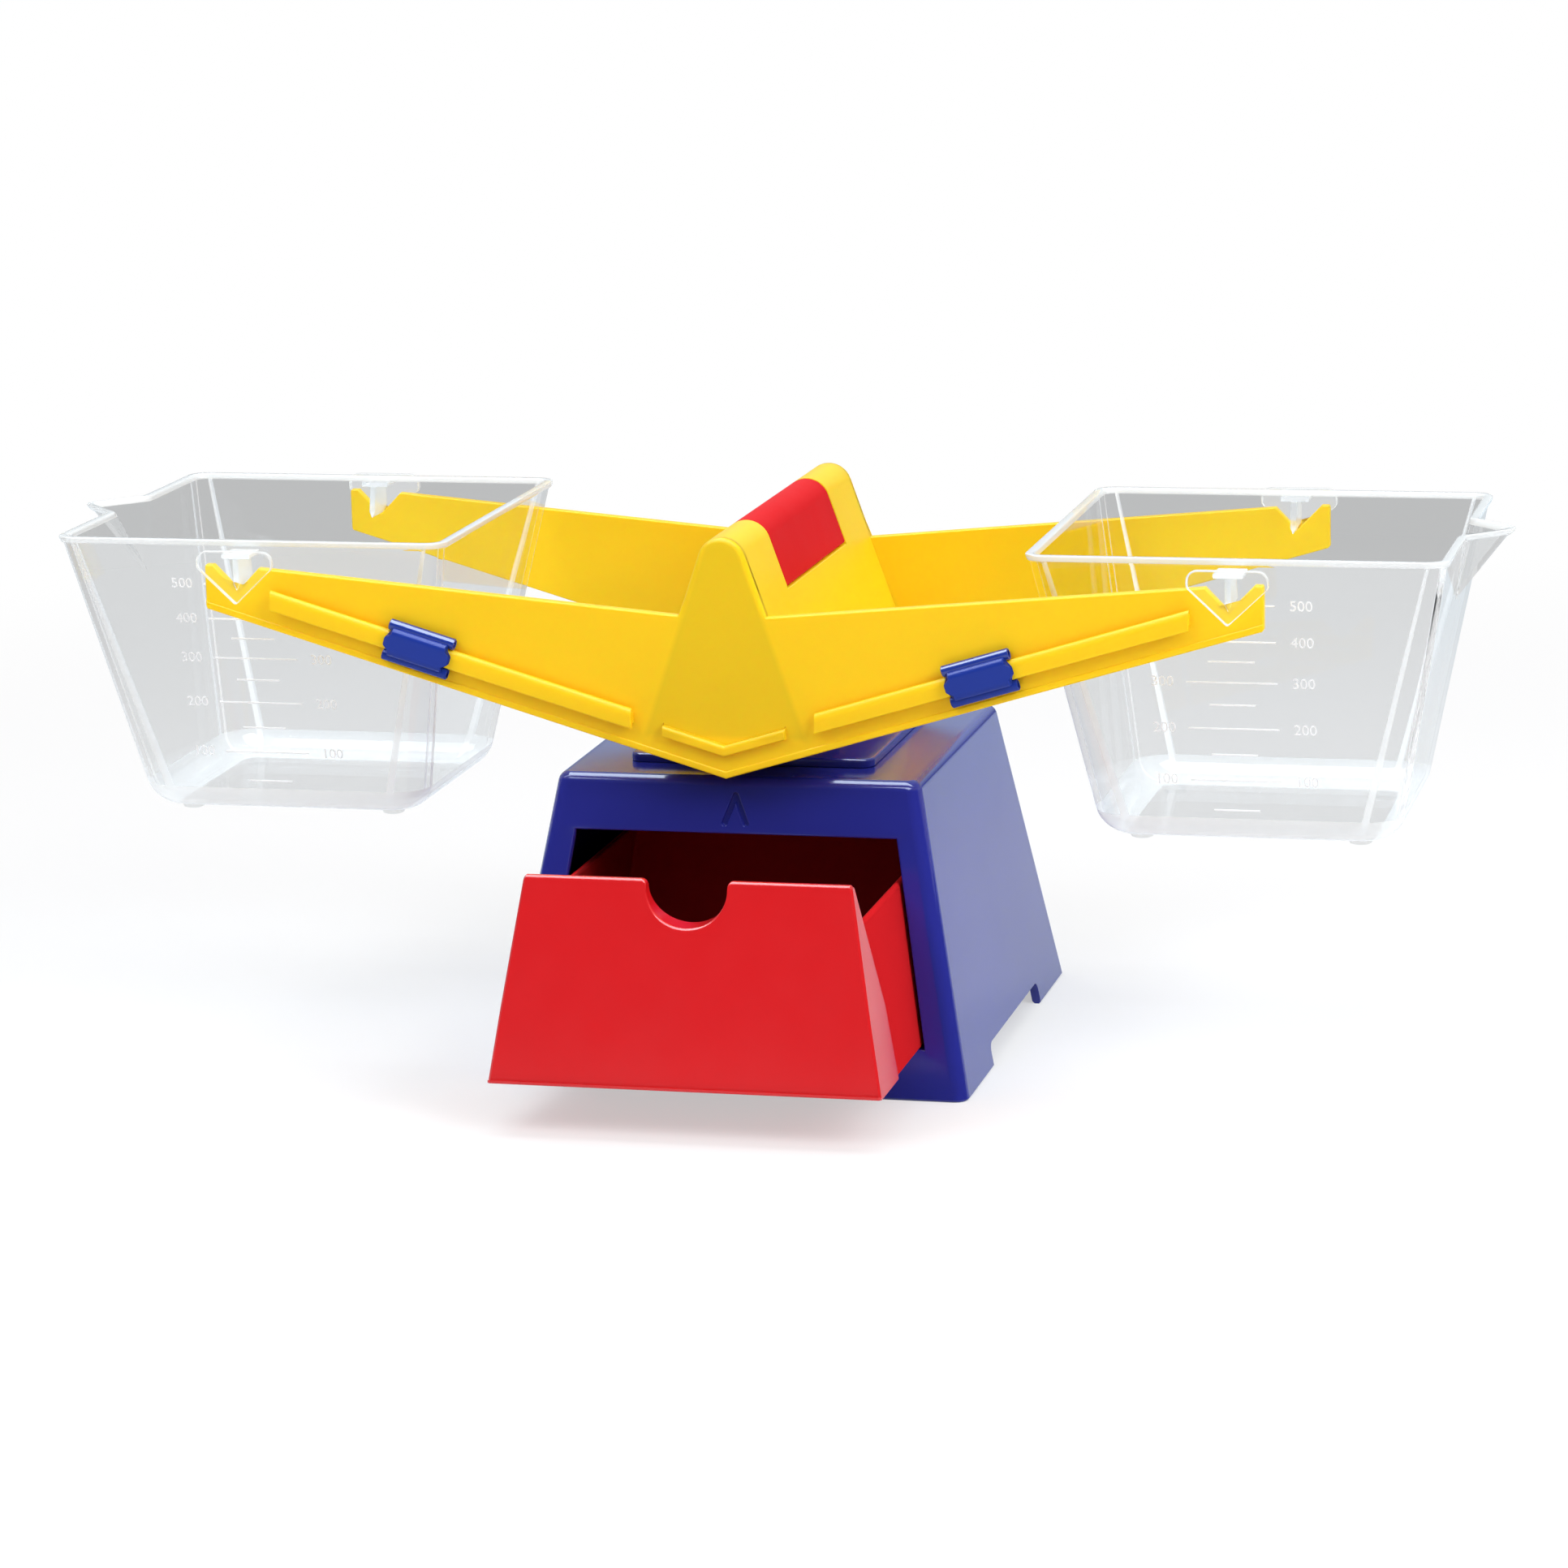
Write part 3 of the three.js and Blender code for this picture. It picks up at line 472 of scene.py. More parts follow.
def archLine():
    # half of the arch under a side wall, from its end up round the corner to the middle, and its mirror image
    s = baseSpec
    half, height, bend = s["archLength"] / 2, s["archHeight"], s["archCorner"]
    turn = quarterTurn(6)[1:]
    y = np.concatenate([[half, half], half - bend * (1 - np.cos(turn))])
    z = np.concatenate([[0, height - bend], height - bend * (1 - np.sin(turn))])
    return np.concatenate([y, [0], -y[::-1]]), np.concatenate([z, [height], z[::-1]])


def baseShell():
    s, m = baseSpec, engravedSpec
    edge, fillet, foot, band = s["edge"], s["topFillet"], s["footEdge"], s["archBand"]
    # rows: inside wall from the ceiling down, under the foot, outside wall up, over the top fillet
    levels = np.unique(np.concatenate([
        np.linspace(band, s["sill"] - edge, 3), np.linspace(s["sill"] - edge, s["openingTop"] + edge, 12),
        [m["patchLow"], m["patchHigh"], s["height"] - fillet]]))
    turn = quarterTurn(8)[1:]
    inner = np.concatenate([[s["height"] - s["wall"]], levels[::-1], [foot, 0.0]])
    outer = np.concatenate([[0.0, foot], levels])
    z = np.concatenate([inner, outer, s["height"] - fillet * (1 - np.sin(turn))])
    inset = np.concatenate([np.full(len(inner) - 1, s["wall"]), [s["wall"] - foot, foot],
                            np.zeros(len(outer) - 1), fillet * (1 - np.cos(turn))])
    radius = np.maximum(s["corner"] - inset, s["innerCorner"])
    # columns: the sides get points along the arch, the front gets the edges of the opening and of the mark
    archY, archZ = archLine()
    arch = len(archY)
    rear, side, front = (np.linspace(0, 1, count + 2)[1:-1] for count in (7, arch, 8))
    cornerSteps = 6
    corner = cornerSteps + 1
    halfX, halfY = baseHalfWidth(z) - inset, baseHalfDepth(z) - inset
    x, y = roundedRing(halfX, halfY, radius, cornerSteps, [rear, side, front, side])
    leftStart = corner + len(rear) + corner
    frontStart = leftStart + arch + corner
    rightStart = frontStart + len(front) + corner
    rise = np.zeros(x.shape[1])
    for start, way in ((leftStart, 1), (rightStart, -1)):
        y[:, start:start + arch] = way * archY
        rise[start:start + arch] = archZ
    hole = (openingHalf(z) + edge)[:, None]
    fixed = np.array([-m["patchHalf"] - m["apart"], -m["patchHalf"], -m["middle"]])
    fixed = np.repeat(np.concatenate([fixed, -fixed[::-1]])[None], len(z), axis=0)
    x[:, frontStart:frontStart + len(front)] = np.concatenate([-hole, fixed, hole], axis=1)
    # the lowest rows are squeezed upwards over the arches, and follow the lean of the walls
    z = z[:, None]
    zGrid = np.where(z < band, rise + z * (band - rise) / band, z)
    lean = (s["bottomWidth"] - s["topWidth"]) / 2 / s["height"]
    x = x - np.sign(x) * (zGrid - z) * lean
    # quads in the opening and under the mark's patch are left out
    keep = np.ones((len(z) - 1, x.shape[1]), bool)
    middle = (z[:-1, 0] + z[1:, 0]) / 2
    inOpening = (middle > s["sill"] - edge) & (middle < s["openingTop"] + edge)
    inPatch = (middle > m["patchLow"]) & (middle < m["patchHigh"]) & (np.arange(len(middle)) >= len(inner))
    keep[np.ix_(inOpening, np.arange(frontStart, frontStart + len(front) - 1))] = False
    keep[np.ix_(inPatch, np.arange(frontStart + 2, frontStart + 5))] = False
    return gridPart(np.stack([x, y, zGrid], axis=-1), keep=keep, capFirst=True, capLast=True)


def openingEdge():
    # a rounded return carried round the opening from the front face to the inside
    s = baseSpec
    edge, wall = s["edge"], s["wall"]
    across, upward = np.array([-1, 1, 1, -1]), np.array([-1, -1, 1, 1])
    loopZ = np.where(upward < 0, s["sill"], s["openingTop"])
    loopX = openingHalf(loopZ) * across
    outZ = loopZ + upward * edge
    outX = (openingHalf(outZ) + edge) * across
    turn = quarterTurn(6)
    # 1 on the faces, 0 in the opening
    onFace = np.concatenate([1 - np.sin(turn), [0, 0], np.sin(turn)])[:, None]
    depth = np.concatenate([edge * (1 - np.cos(turn)), [wall * 0.4, wall * 0.6],
                            wall - edge * (1 - np.cos(turn[::-1]))])[:, None]
    ringX = loopX + (outX - loopX) * onFace
    ringZ = loopZ + (outZ - loopZ) * onFace
    return gridPart(np.stack([ringX, -baseHalfDepth(ringZ) + depth, ringZ], axis=-1))


def engravedMark():
    # a fine patch of the front face, pressed in by the distance from the two legs of an upside-down V
    m = engravedSpec
    half, height, stroke = (m["width"] - m["stroke"]) / 2, m["height"], m["stroke"]
    across, up = np.meshgrid(np.linspace(-m["patchHalf"], m["patchHalf"], m["steps"]),
                             np.linspace(m["patchLow"], m["patchHigh"], m["steps"]), indexing="xy")
    drop = m["tip"] - stroke * 0.7 - up
    along = np.clip((np.abs(across) * half + drop * height) / np.hypot(half, height) ** 2, 0, 0.93)
    away = np.hypot(np.abs(across) - along * half, drop - along * height)
    press = np.clip((stroke / 2 + m["spread"] - away) / m["soft"], 0, 1)
    press = press * press * (3 - 2 * press) * m["depth"]
    return gridPart(np.stack([across, -baseHalfDepth(up) + press, up], axis=-1), closeColumns=False)


def screwPosts():
    s = baseSpec
    x, y = baseHalfWidth(s["sill"]) - s["postInset"], baseHalfDepth(s["sill"]) - s["postInset"]
    profile = [(s["postHole"], s["holeTop"]), (s["postHole"], s["postLow"]),
               (s["postRadius"], s["postLow"]), (s["postRadius"], s["postTop"])]
    return [turnedPart(sx * x, sy * y, 24, profile) for sx in (-1, 1) for sy in (-1, 1)]


baseParts = [baseShell(), openingEdge(), engravedMark()] + screwPosts()
makePiece("baseShell", baseParts, "base", [finishes["blue"]], ["base_housing"])
refinish(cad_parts["base_floor"], finishes["blue"])


# fulcrum post: foot plate and blade as one stack of rounded rings

postSpec = {"width": 69, "depth": 77, "foot": 84.7, "plate": 2.3, "corner": 4, "edge": 0.7, "blade": 66,
            "bladeCorner": 1.0, "slope": 0.19, "tip": 0.25, "edgeZ": 144.76, "edgeHalf": 0.12, "root": 1.2,
            "shoulder": 20, "bevel": 0.5}


def postParts():
    s = postSpec
    top, edge, root = s["foot"] + s["plate"], s["edge"], s["root"]
    turn = quarterTurn(5)

    def bladeHalf(z):
        return s["tip"] + (s["edgeZ"] - z) * s["slope"]

    rootZ = top + root * (1 - np.cos(turn))
    bladeZ = np.array([s["edgeZ"] - s["shoulder"], s["edgeZ"] - s["bevel"]])
    flare = root * (1 - np.sin(turn))
    drawn = np.concatenate([[0], edge * (1 - np.cos(turn))])
    z = np.concatenate([[s["foot"]], top - edge * (1 - np.sin(turn)), rootZ, bladeZ, [s["edgeZ"]]])
    halfX = np.concatenate([s["width"] / 2 - drawn, bladeHalf(rootZ) + flare, bladeHalf(bladeZ),
                            [s["edgeHalf"]]])
    halfY = np.concatenate([s["depth"] / 2 - drawn, s["blade"] / 2 + flare, np.full(3, s["blade"] / 2)])
    radius = np.where(np.arange(len(z)) < len(drawn), s["corner"], s["bladeCorner"])
    x, y = roundedRing(halfX, halfY, np.minimum(radius, halfX * 0.9), 6)
    return [closedPart(x, y, z[:, None])]


makePiece("postBlade", postParts(), "base", [finishes["blue"]], ["fulcrum_post"])


# drawer: a wedge-shaped front with a finger notch, and a tray behind it

drawerSpec = {
    "open": 51.5, "bottom": 13.9, "top": 68.8, "gap": 0.5, "frontTop": 2.2, "frontBottom": 22.8, "knee": 20,
    "notch": 11, "shoulder": 1.5, "edge": 0.6, "topRound": 0.8, "footRound": 1.0, "heel": 0.4,
    "step": 0.5, "wall": 2, "trayTop": 57.5, "rear": 55.43, "hidden": 44, "bury": 1.5, "trayCorner": 1.2,
    "footEdge": 0.6, "middle": 30, "cove": 0.4, "coveReach": 1.2,
}


def drawerRear(z):
    # where the wedge's sloping rear lies at a height
    s = drawerSpec
    low = s["frontBottom"] - baseHalfDepth(s["bottom"])
    high = s["frontTop"] - baseHalfDepth(s["top"])
    knee = s["bottom"] + s["knee"]
    return tapered(low, high, (z - knee) / (s["top"] - knee))


def drawerTopEdge():
    # the front's top edge, with a half-round notch and rounded shoulders: shares of the width, and heights
    s = drawerSpec
    reach, centreZ = s["notch"] + s["shoulder"], s["top"] - s["shoulder"]
    halfTop = float(openingHalf(s["top"])) - s["gap"]
    level = -halfTop + (halfTop - reach) * np.linspace(0, 1, 8)[:-1]
    level = np.stack([level, np.full(len(level), s["top"])], axis=1)
    shoulder = arcPoints(-reach, centreZ, s["shoulder"], 90, 0, 6)
    bowl = arcPoints(0, centreZ, s["notch"], 180, 360, 32)[1:-1]
    half = np.concatenate([level, shoulder])
    edge = np.concatenate([half[:1], half, bowl, half[::-1] * (-1, 1), half[:1] * (-1, 1)])  # the ends twice
    return edge[:, 0] / halfTop, edge[:, 1]


def drawerFront():
    s = drawerSpec
    bottom, kneeZ, topRound, footRound = s["bottom"], s["bottom"] + s["knee"], s["topRound"], s["footRound"]
    share, zTop = drawerTopEdge()
    trim = np.zeros(len(share))
    trim[[0, -1]] = s["edge"]  # the end rows are drawn in to soften the side edges
    rearLow = drawerRear(kneeZ)
    turn = quarterTurn(4)
    section = []

    def add(y, z):
        section.append(np.broadcast_arrays(y, z, share)[:2])

    # section at each place along the front: foot, rear knee, rear top, front top, front face, foot
    add(-baseHalfDepth(bottom) + footRound + trim, bottom)
    add(rearLow - s["heel"] - trim, bottom)
    add(rearLow - trim, bottom + s["heel"])
    add(rearLow - trim, kneeZ)
    for a in turn:
        z = zTop - topRound * (1 - np.sin(a)) - trim
        add(drawerRear(z) - topRound * (1 - np.cos(a)) - trim * 0.6, z)
    for a in turn[::-1]:
        z = zTop - topRound * (1 - np.sin(a)) - trim
        add(-baseHalfDepth(z) + topRound * (1 - np.cos(a)) + trim, z)
    add(-baseHalfDepth(kneeZ) + trim, kneeZ)
    for a in turn[::-1]:
        z = bottom + footRound * (1 - np.sin(a))
        add(-baseHalfDepth(z) + footRound * (1 - np.cos(a)) + trim, z)
    y, z = np.array(section).transpose(1, 2, 0)
    x = share[:, None] * (openingHalf(z) - s["gap"])
    # next to last rows stand a little inside the ends, so that the side edges are rounded
    x[1] += s["edge"]
    x[-2] -= s["edge"]
    return closedPart(x, y, z)


def drawerTray():
    # rings out and up, over the lip, and down the inside to the floor
    s = drawerSpec
    lip = np.radians(np.linspace(0, 180, 9))
    w, floor, cove, reach = s["wall"], s["bottom"] + s["wall"], s["cove"], s["coveReach"]
    outside = [s["bottom"], s["bottom"] + s["footEdge"], s["middle"]]
    level = np.concatenate([outside, s["trayTop"] - w / 2 + w / 2 * np.sin(lip),
                            [s["middle"], floor + reach, floor + cove, floor]])
    draw = np.concatenate([[s["footEdge"], 0, 0], w / 2 * (1 - np.cos(lip)), [w, w, w + cove, w + reach]])
    yLow = np.minimum(drawerRear(level), drawerRear(s["bottom"] + s["knee"])) - s["bury"] + draw
    yHigh = s["rear"] - draw
    halfX = openingHalf(level) - s["gap"] - s["step"] - draw
    x, y = roundedRing(halfX, (yHigh - yLow) / 2, np.full(len(level), s["trayCorner"]), 5)
    y = y + ((yHigh + yLow) / 2)[:, None]
    z = level[:, None]
    # the front end stays inside the wedge
    z = np.where(y < yLow[:, None] + 0.05, np.minimum(z, s["hidden"]), z)
    # painted shade: the inside is painted dark for the shade inside the drawer; the outside is dull and a
    # little darker than the front
    bands = np.where(np.arange(len(level) - 1) > len(outside) + len(lip) // 2, 1, 2)
    tray = closedPart(x, y, z, bands)
    # the inside of the floor gets the painted shade finish too
    tray[2][-1] = 1
    return tray


drawerParts = moved([drawerFront(), drawerTray()], (0, -drawerSpec["open"], 0))
drawerFinishes = [finishes["red"], finishes["paintedShadeRed"], finishes["trayRed"]]
makePiece("drawerTray", drawerParts, "drawer", drawerFinishes, ["drawer"])


# beam: two rails with their ribs, and the tent between them

beamSpec = {
    "pointer": 86.5, "half": 146.5, "face": 64.75, "thick": 3, "rise": 43.8, "endTop": 142.5,
    "railTop": 131.1, "notchX": 137.2, "hang": 135.3, "notchHalf": 7, "tipDrop": 0.8, "tentHalf": 12.2,
    "lean": math.radians(19.2), "ridge": 6.7, "roof": 2.5, "skirt": 97.0, "skirtSoft": 0.4, "windowSoft": 0.3,
    "edge": 0.5, "topEdge": 0.7, "gableEdge": 1.6, "endTrim": 0.4, "rimWidth": 1.9, "rimRise": 0.35,
    "trackStart": 25.5, "trackEnd": 127.0, "trackOffset": 5.7, "headWidth": 5.3, "stemWidth": 2.6,
    "stem": 1.5, "head": 3.0, "headSoft": 0.5, "headBrow": 2.3, "browOut": 1.3,
    "chevron": 17, "chevronOffset": 6.2, "chevronWidth": 2.9, "chevronRise": 2.0, "chevronBrow": 1.2,
    "capHalf": 35.0, "capLow": 134.1, "capGap": 0.4,
}
beamSpec["ridgeZ"] = beamSpec["railTop"] + (
    beamSpec["tentHalf"] - beamSpec["ridge"] / math.cos(beamSpec["lean"])) / math.tan(beamSpec["lean"])
beamSpec["tangent"] = beamSpec["ridge"] * math.cos(beamSpec["lean"])
beamSpec["notchStart"] = beamSpec["notchX"] - beamSpec["notchHalf"] * (
    1 - beamSpec["tipDrop"] / (beamSpec["endTop"] - beamSpec["hang"]))
beamSpec["notchEnd"] = beamSpec["notchX"] + beamSpec["notchHalf"]


def railTopAt(x):
    # height of the rail's upper edge: gable, long slope, notch and end, as one function of x
    s = beamSpec
    x = np.abs(x)
    arc = s["ridgeZ"] + np.sqrt(np.maximum(s["ridge"] ** 2 - x ** 2, 0))
    gable = s["railTop"] + (s["tentHalf"] - x) / math.tan(s["lean"])
    knots = [s["tentHalf"], s["notchStart"], s["notchX"], s["notchEnd"], s["half"]]
    heights = [s["railTop"], s["endTop"] - s["tipDrop"], s["hang"], s["endTop"], s["endTop"]]
    slope = np.interp(x, knots, heights)
    return np.where(x < s["tangent"], arc, np.where(x < s["tentHalf"], gable, slope))


def railStations():
    # places along the rail, the kind of rib at each, and how far its end is drawn in
    s = beamSpec
    plain, chevron, track, stemAlone = range(4)
    start, end, tent = s["trackStart"], s["trackEnd"], s["tentHalf"]
    runs = [  # start, end, points, kind of rib
        (0, s["tangent"], 12, chevron), (s["tangent"], tent, 8, chevron), (tent, s["chevron"], 3, chevron),
        (s["chevron"], start, 3, plain), (start, start, 1, stemAlone), (start, end, 16, track),
        (end, end, 1, stemAlone), (end, s["notchStart"], 3, plain), (s["notchStart"], s["notchX"], 5, plain),
        (s["notchX"], s["notchEnd"], 5, plain), (s["notchEnd"], s["half"] - s["endTrim"], 3, plain),
        (s["half"], s["half"], 1, plain)]
    x = np.concatenate([np.linspace(low, high, count) for low, high, count, kind in runs])
    kind = np.concatenate([np.full(count, kind) for low, high, count, kind in runs])
    x = np.concatenate([-x[::-1], x[1:]])
    kind = np.concatenate([kind[::-1], kind[1:]])
    trim = np.where(np.abs(x) == s["half"], s["endTrim"], 0.0)
    return x, kind == chevron, kind == track, kind == stemAlone, trim


def railParts():
    s = beamSpec
    x, chevron, track, stemAlone, trim = railStations()
    slope = s["rise"] / s["half"]
    lift = math.hypot(1, slope)  # upright height of one millimetre square to the lower edge
    low = s["pointer"] + slope * np.abs(x) + trim
    high = railTopAt(x) - trim
    # the upper edge is rounded, more so round the gable, where the rounding is measured square to the edge
    onGable = np.abs(x) < s["tentHalf"] - 1e-6
    onArc = np.abs(x) < s["tangent"]
    steep = np.where(onArc, np.sqrt(np.maximum(1 - (x / s["ridge"]) ** 2, 0)), math.sin(s["lean"]))
    steep = np.where(onGable, steep, 1.0)
    gableUp = np.minimum(s["gableEdge"] / steep, high - s["railTop"] + s["topEdge"])
    topUp = np.where(onGable, gableUp, s["topEdge"])
    topOut = np.maximum(topUp * steep, s["topEdge"])
    # ribs: a stem on the rail's face and a head in front of it, which is wider on the tracks
    onRib, onHead = chevron | track | stemAlone, chevron | track
    stemAt, stemHalf = s["trackOffset"] + s["headWidth"] / 2, s["stemWidth"] / 2
    chevronAt, chevronTop = s["chevronOffset"], s["chevronOffset"] + s["chevronWidth"]
    stemTop = low + lift * np.where(chevron, chevronTop, stemAt + stemHalf)
    stemLow = low + lift * np.where(chevron, chevronAt, stemAt - stemHalf)
    headTop = np.where(track, low + lift * (s["trackOffset"] + s["headWidth"]), stemTop)
    headLow = np.where(track, low + lift * s["trackOffset"], stemLow)
    under = np.where(chevron, s["chevronRise"] / 2, s["stem"]) * onRib
    out = np.where(chevron, s["chevronRise"], np.where(stemAlone, s["stem"], s["head"])) * onRib
    soft = s["headSoft"] * onHead
    brow = np.where(chevron, s["chevronBrow"], s["headBrow"]) * onHead  # height of the rounding on the head
    browOut = np.minimum(brow, s["browOut"])
    section = []

    def add(o, z):
        section.append(np.broadcast_arrays(o, z, x)[:2])

    r, thick, rimTop, rise = s["edge"], s["thick"], low + s["rimWidth"] * lift, s["rimRise"]
    turn = quarterTurn(4)
    for a in turn:  # inner lower edge
        add(-thick + r - r * np.sin(a), low + r * (1 - np.cos(a)))
    for a in turn:  # inner upper edge
        add(-thick + r * (1 - np.cos(a)), high - r + r * np.sin(a))
    innerRows = len(section)
    for a in quarterTurn(7):  # outer upper edge
        add(-topOut + topOut * np.sin(a), high - topUp + topUp * np.cos(a))
    add(0.0, stemTop)
    add(under, stemTop)
    add(under, headTop)
    for a in turn:  # the head's upper edge
        add(out - browOut * (1 - np.sin(a)), headTop - brow * (1 - np.cos(a)))
    add(out, headLow + soft)
    add(out - soft * 0.3, headLow + soft * 0.3)
    add(out - soft, headLow)
    add(under, headLow)
    add(under, stemLow)
    add(0.0, stemLow)
    add(0.0, rimTop)
    add(rise * 0.3, rimTop)
    add(rise * 0.8, rimTop - 0.15)
    add(rise, rimTop - 0.4)
    for a in turn:  # outer lower edge
        add(rise - r + r * np.cos(a), low + r * (1 - np.sin(a)))
    o, z = np.array(section).transpose(1, 2, 0)
    o = o + np.where(np.arange(len(section)) < innerRows, 1, -1) * trim[:, None]
    return [closedPart(x[:, None], side * (s["face"] + o), z) for side in (-1, 1)]


def tentHalfAt(z, inset):
    s = beamSpec
    return s["tentHalf"] + (s["railTop"] - z) * math.tan(s["lean"]) - inset / math.cos(s["lean"])


def saddleLine(inset, zLow):
    # right half of the roof's section at an inset, from the lower edge to the ridge
    s = beamSpec
    arc = arcPoints(0, s["ridgeZ"], s["ridge"] - inset, math.degrees(s["lean"]), 90, 14)
    return np.concatenate([[[tentHalfAt(zLow, inset), zLow]], arc])


def bothSides(line):
    return np.concatenate([line, line[-2::-1] * (-1, 1)])


def saddleLoop(outerInset, innerInset, zLow, soft):
    # over the outside from right to left, then back along the inside, with softened lower edges
    outer = saddleLine(outerInset, zLow + soft)
    outer = np.concatenate([[[tentHalfAt(zLow, outerInset + soft), zLow]], outer])
    inner = saddleLine(innerInset, zLow)
    return np.concatenate([bothSides(outer), bothSides(inner)[::-1]])


def roofParts():
    # whole roof in front of and behind the window, and a strip on each side of it
    s = beamSpec
    low, soft, top, topSoft = s["skirt"], s["skirtSoft"], s["capLow"] - s["capGap"], s["windowSoft"]
    roof = s["roof"]
    window, end = s["capHalf"] + s["capGap"], s["face"] - s["thick"] / 2
    loop = saddleLoop(0, roof, low, soft)
    corners = [(low, soft), (low + soft, 0), (top - topSoft, 0), (top, topSoft), (top, roof), (low, roof)]
    strip = np.array([[tentHalfAt(z, inset), z] for z, inset in corners])
    whole = [alongYAxis(loop, [(y0, 0), (y1, 0)]) for y0, y1 in ((-end, -window), (window, end))]
    return whole + [alongYAxis(strip * (side, 1), [(-window, 0), (window, 0)]) for side in (1, -1)]


beamParts = railParts() + roofParts()
makePiece("beamMoulding", beamParts, "beam", [finishes["yellow"]], ["beam"], weld=False)


# ridge cap: a saddle flush with the roof, its hidden flange and the bearing block

capSpec = {"half": 35.0, "low": 134.1, "roof": 2.5, "gap": 0.3, "flange": 2.0, "lap": 3.0, "flangeSoft": 0.1,
           "pivot": 145.06, "groove": 3.2, "blockTop": 3.4, "blockInset": 0.6, "edge": 0.5, "soft": 0.5}


def capParts():
    s = capSpec
    flangeOut = s["roof"] + s["gap"]
    flangeIn = flangeOut + s["flange"]
    plug = np.array([atY(saddleLoop(draw, flangeIn, s["low"] + draw * 0.5, s["soft"]), y)
                     for y, draw in softEnds(-s["half"], s["half"], s["edge"])])
    lap = s["half"] + s["lap"]
    flange = saddleLoop(flangeOut, flangeIn, s["low"] - s["lap"], s["flangeSoft"])
    pivot, groove = s["pivot"], s["groove"]
    low, middle, end = pivot - groove, (flangeOut + flangeIn) / 2, s["half"] - s["blockInset"]
    wide, narrow = tentHalfAt(low, middle), tentHalfAt(pivot, middle)
    block = [[wide, low], [narrow, pivot], [0, pivot + s["blockTop"]], [-narrow, pivot], [-wide, low],
             [-groove, low], [0, pivot], [groove, low]]
    return [gridPart(plug, capFirst=True, capLast=True), alongYAxis(flange, [(-lap, 0), (lap, 0)]),
            alongYAxis(block, [(-end, 0), (end, 0)])]


makePiece("ridgeCap", capParts(), "beam", [finishes["capRed"]], ["ridge_cap"], weld=False)


# sliders: a clip section carried along the track

sliderSpec = {
    "length": 19, "back": 0.3, "lipFront": 1.2, "cavity": 3.3, "front": 5.1, "lip": 1.6, "hollow": 2.95,
    "plate": 4.05, "edge": 1.7, "roll": 1.6, "rollAt": 4.3, "under": 0.08, "rollEdge": 0.2,
    "bore": 1.1, "boreEdge": 0.15, "boreDepth": 2.5, "bulge": 1.5, "bulgeHalf": 2.0, "plateFrom": 2.6,
    "plateFull": 0.6, "drawFrom": 4.0, "soft": 0.3, "ringSteps": 40,
    "places": {"sliderLeft": -85.0, "sliderRight": 71.0},
}


def sliderSection():
    # half of the section, from the rail over the rolled edge to the plate's middle, and its mirror image
    s = sliderSpec
    inRoll = s["roll"] - s["under"]  # the clip's body ends just inside its rolled edges
    meet = math.degrees(math.asin((s["rollAt"] - s["plate"]) / inRoll))
    up = np.linspace(2, 0, 6)
    outer = np.concatenate([
        [[s["back"], s["lip"]]], arcPoints(s["back"] + s["roll"], s["rollAt"], inRoll, 180, -meet, 24),
        arcPoints(s["front"] - s["edge"], s["plate"] - s["edge"], s["edge"], 90, 0, 6),
        np.stack([np.full(len(up), s["front"]), up], axis=1)])
    inner = np.concatenate([
        np.stack([np.full(len(up), s["cavity"]), up[::-1]], axis=1),
        [[s["cavity"], s["hollow"]], [s["lipFront"], s["hollow"]], [s["lipFront"], s["lip"]]]])
    return np.concatenate([outer, outer[-2::-1] * (1, -1), inner[::-1] * (1, -1), inner[1:]])


def sliderParts(at):
    s, b = sliderSpec, beamSpec
    slope = math.atan(b["rise"] / b["half"])
    turn = slope if at > 0 else -slope
    trackMiddle = (b["trackOffset"] + b["headWidth"] / 2) / math.cos(slope)
    centreZ = b["pointer"] + abs(at) * math.tan(slope) + trackMiddle

    def onRail(along, o, v):
        x = at + along * math.cos(turn) - v * math.sin(turn)
        z = centreZ + along * math.sin(turn) + v * math.cos(turn)
        return np.stack(np.broadcast_arrays(x, -(b["face"] + o), z), axis=-1)

    o, v = sliderSection().T
    half, soft = s["length"] / 2, s["soft"]
    # the front plate bulges at both ends between the rolls: its length as a function of height
    isPlate = np.clip((o - s["plateFrom"]) / s["plateFull"], 0, 1)
    plate = half - s["bulge"] * (1 - np.clip(1.3 - (v / s["bulgeHalf"]) ** 2, 0, 1))
    reach = isPlate * plate + (1 - isPlate) * (half - s["boreDepth"])
    ends = [(-1, soft), (-1, soft * 0.3), (-1, 0), (1, 0), (1, soft * 0.3), (1, soft)]
    rows = [onRail(side * (reach - soft + draw), o - np.where(o > s["drawFrom"], draw, 0), v * (1 - draw / 6))
            for side, draw in ends]
    parts = [gridPart(np.array(rows), capFirst=True, capLast=True)]
    # each rolled edge is a tube, so that its ends show a dark bore; the upper one is shinier
    ring = np.radians(np.linspace(0, 360, s["ringSteps"], endpoint=False))
    roll, rollEdge, bore, boreEdge = s["roll"], s["rollEdge"], s["bore"], s["boreEdge"]
    end = [(half - rollEdge, roll), (half, roll - rollEdge), (half, bore + boreEdge), (half - boreEdge, bore)]
    wall = np.array([(-along, radius) for along, radius in end[2::-1]] + end + [(boreEdge - half, bore)])
    along, radius = np.concatenate([wall, wall[:1]]).T[:, :, None]
    for side in (-1, 1):
        tubeO, tubeV = s["back"] + roll + radius * np.cos(ring), side * s["rollAt"] + radius * np.sin(ring)
        parts.append(gridPart(onRail(along, tubeO, tubeV), bands=np.full(len(wall), int(side > 0))))
    return parts


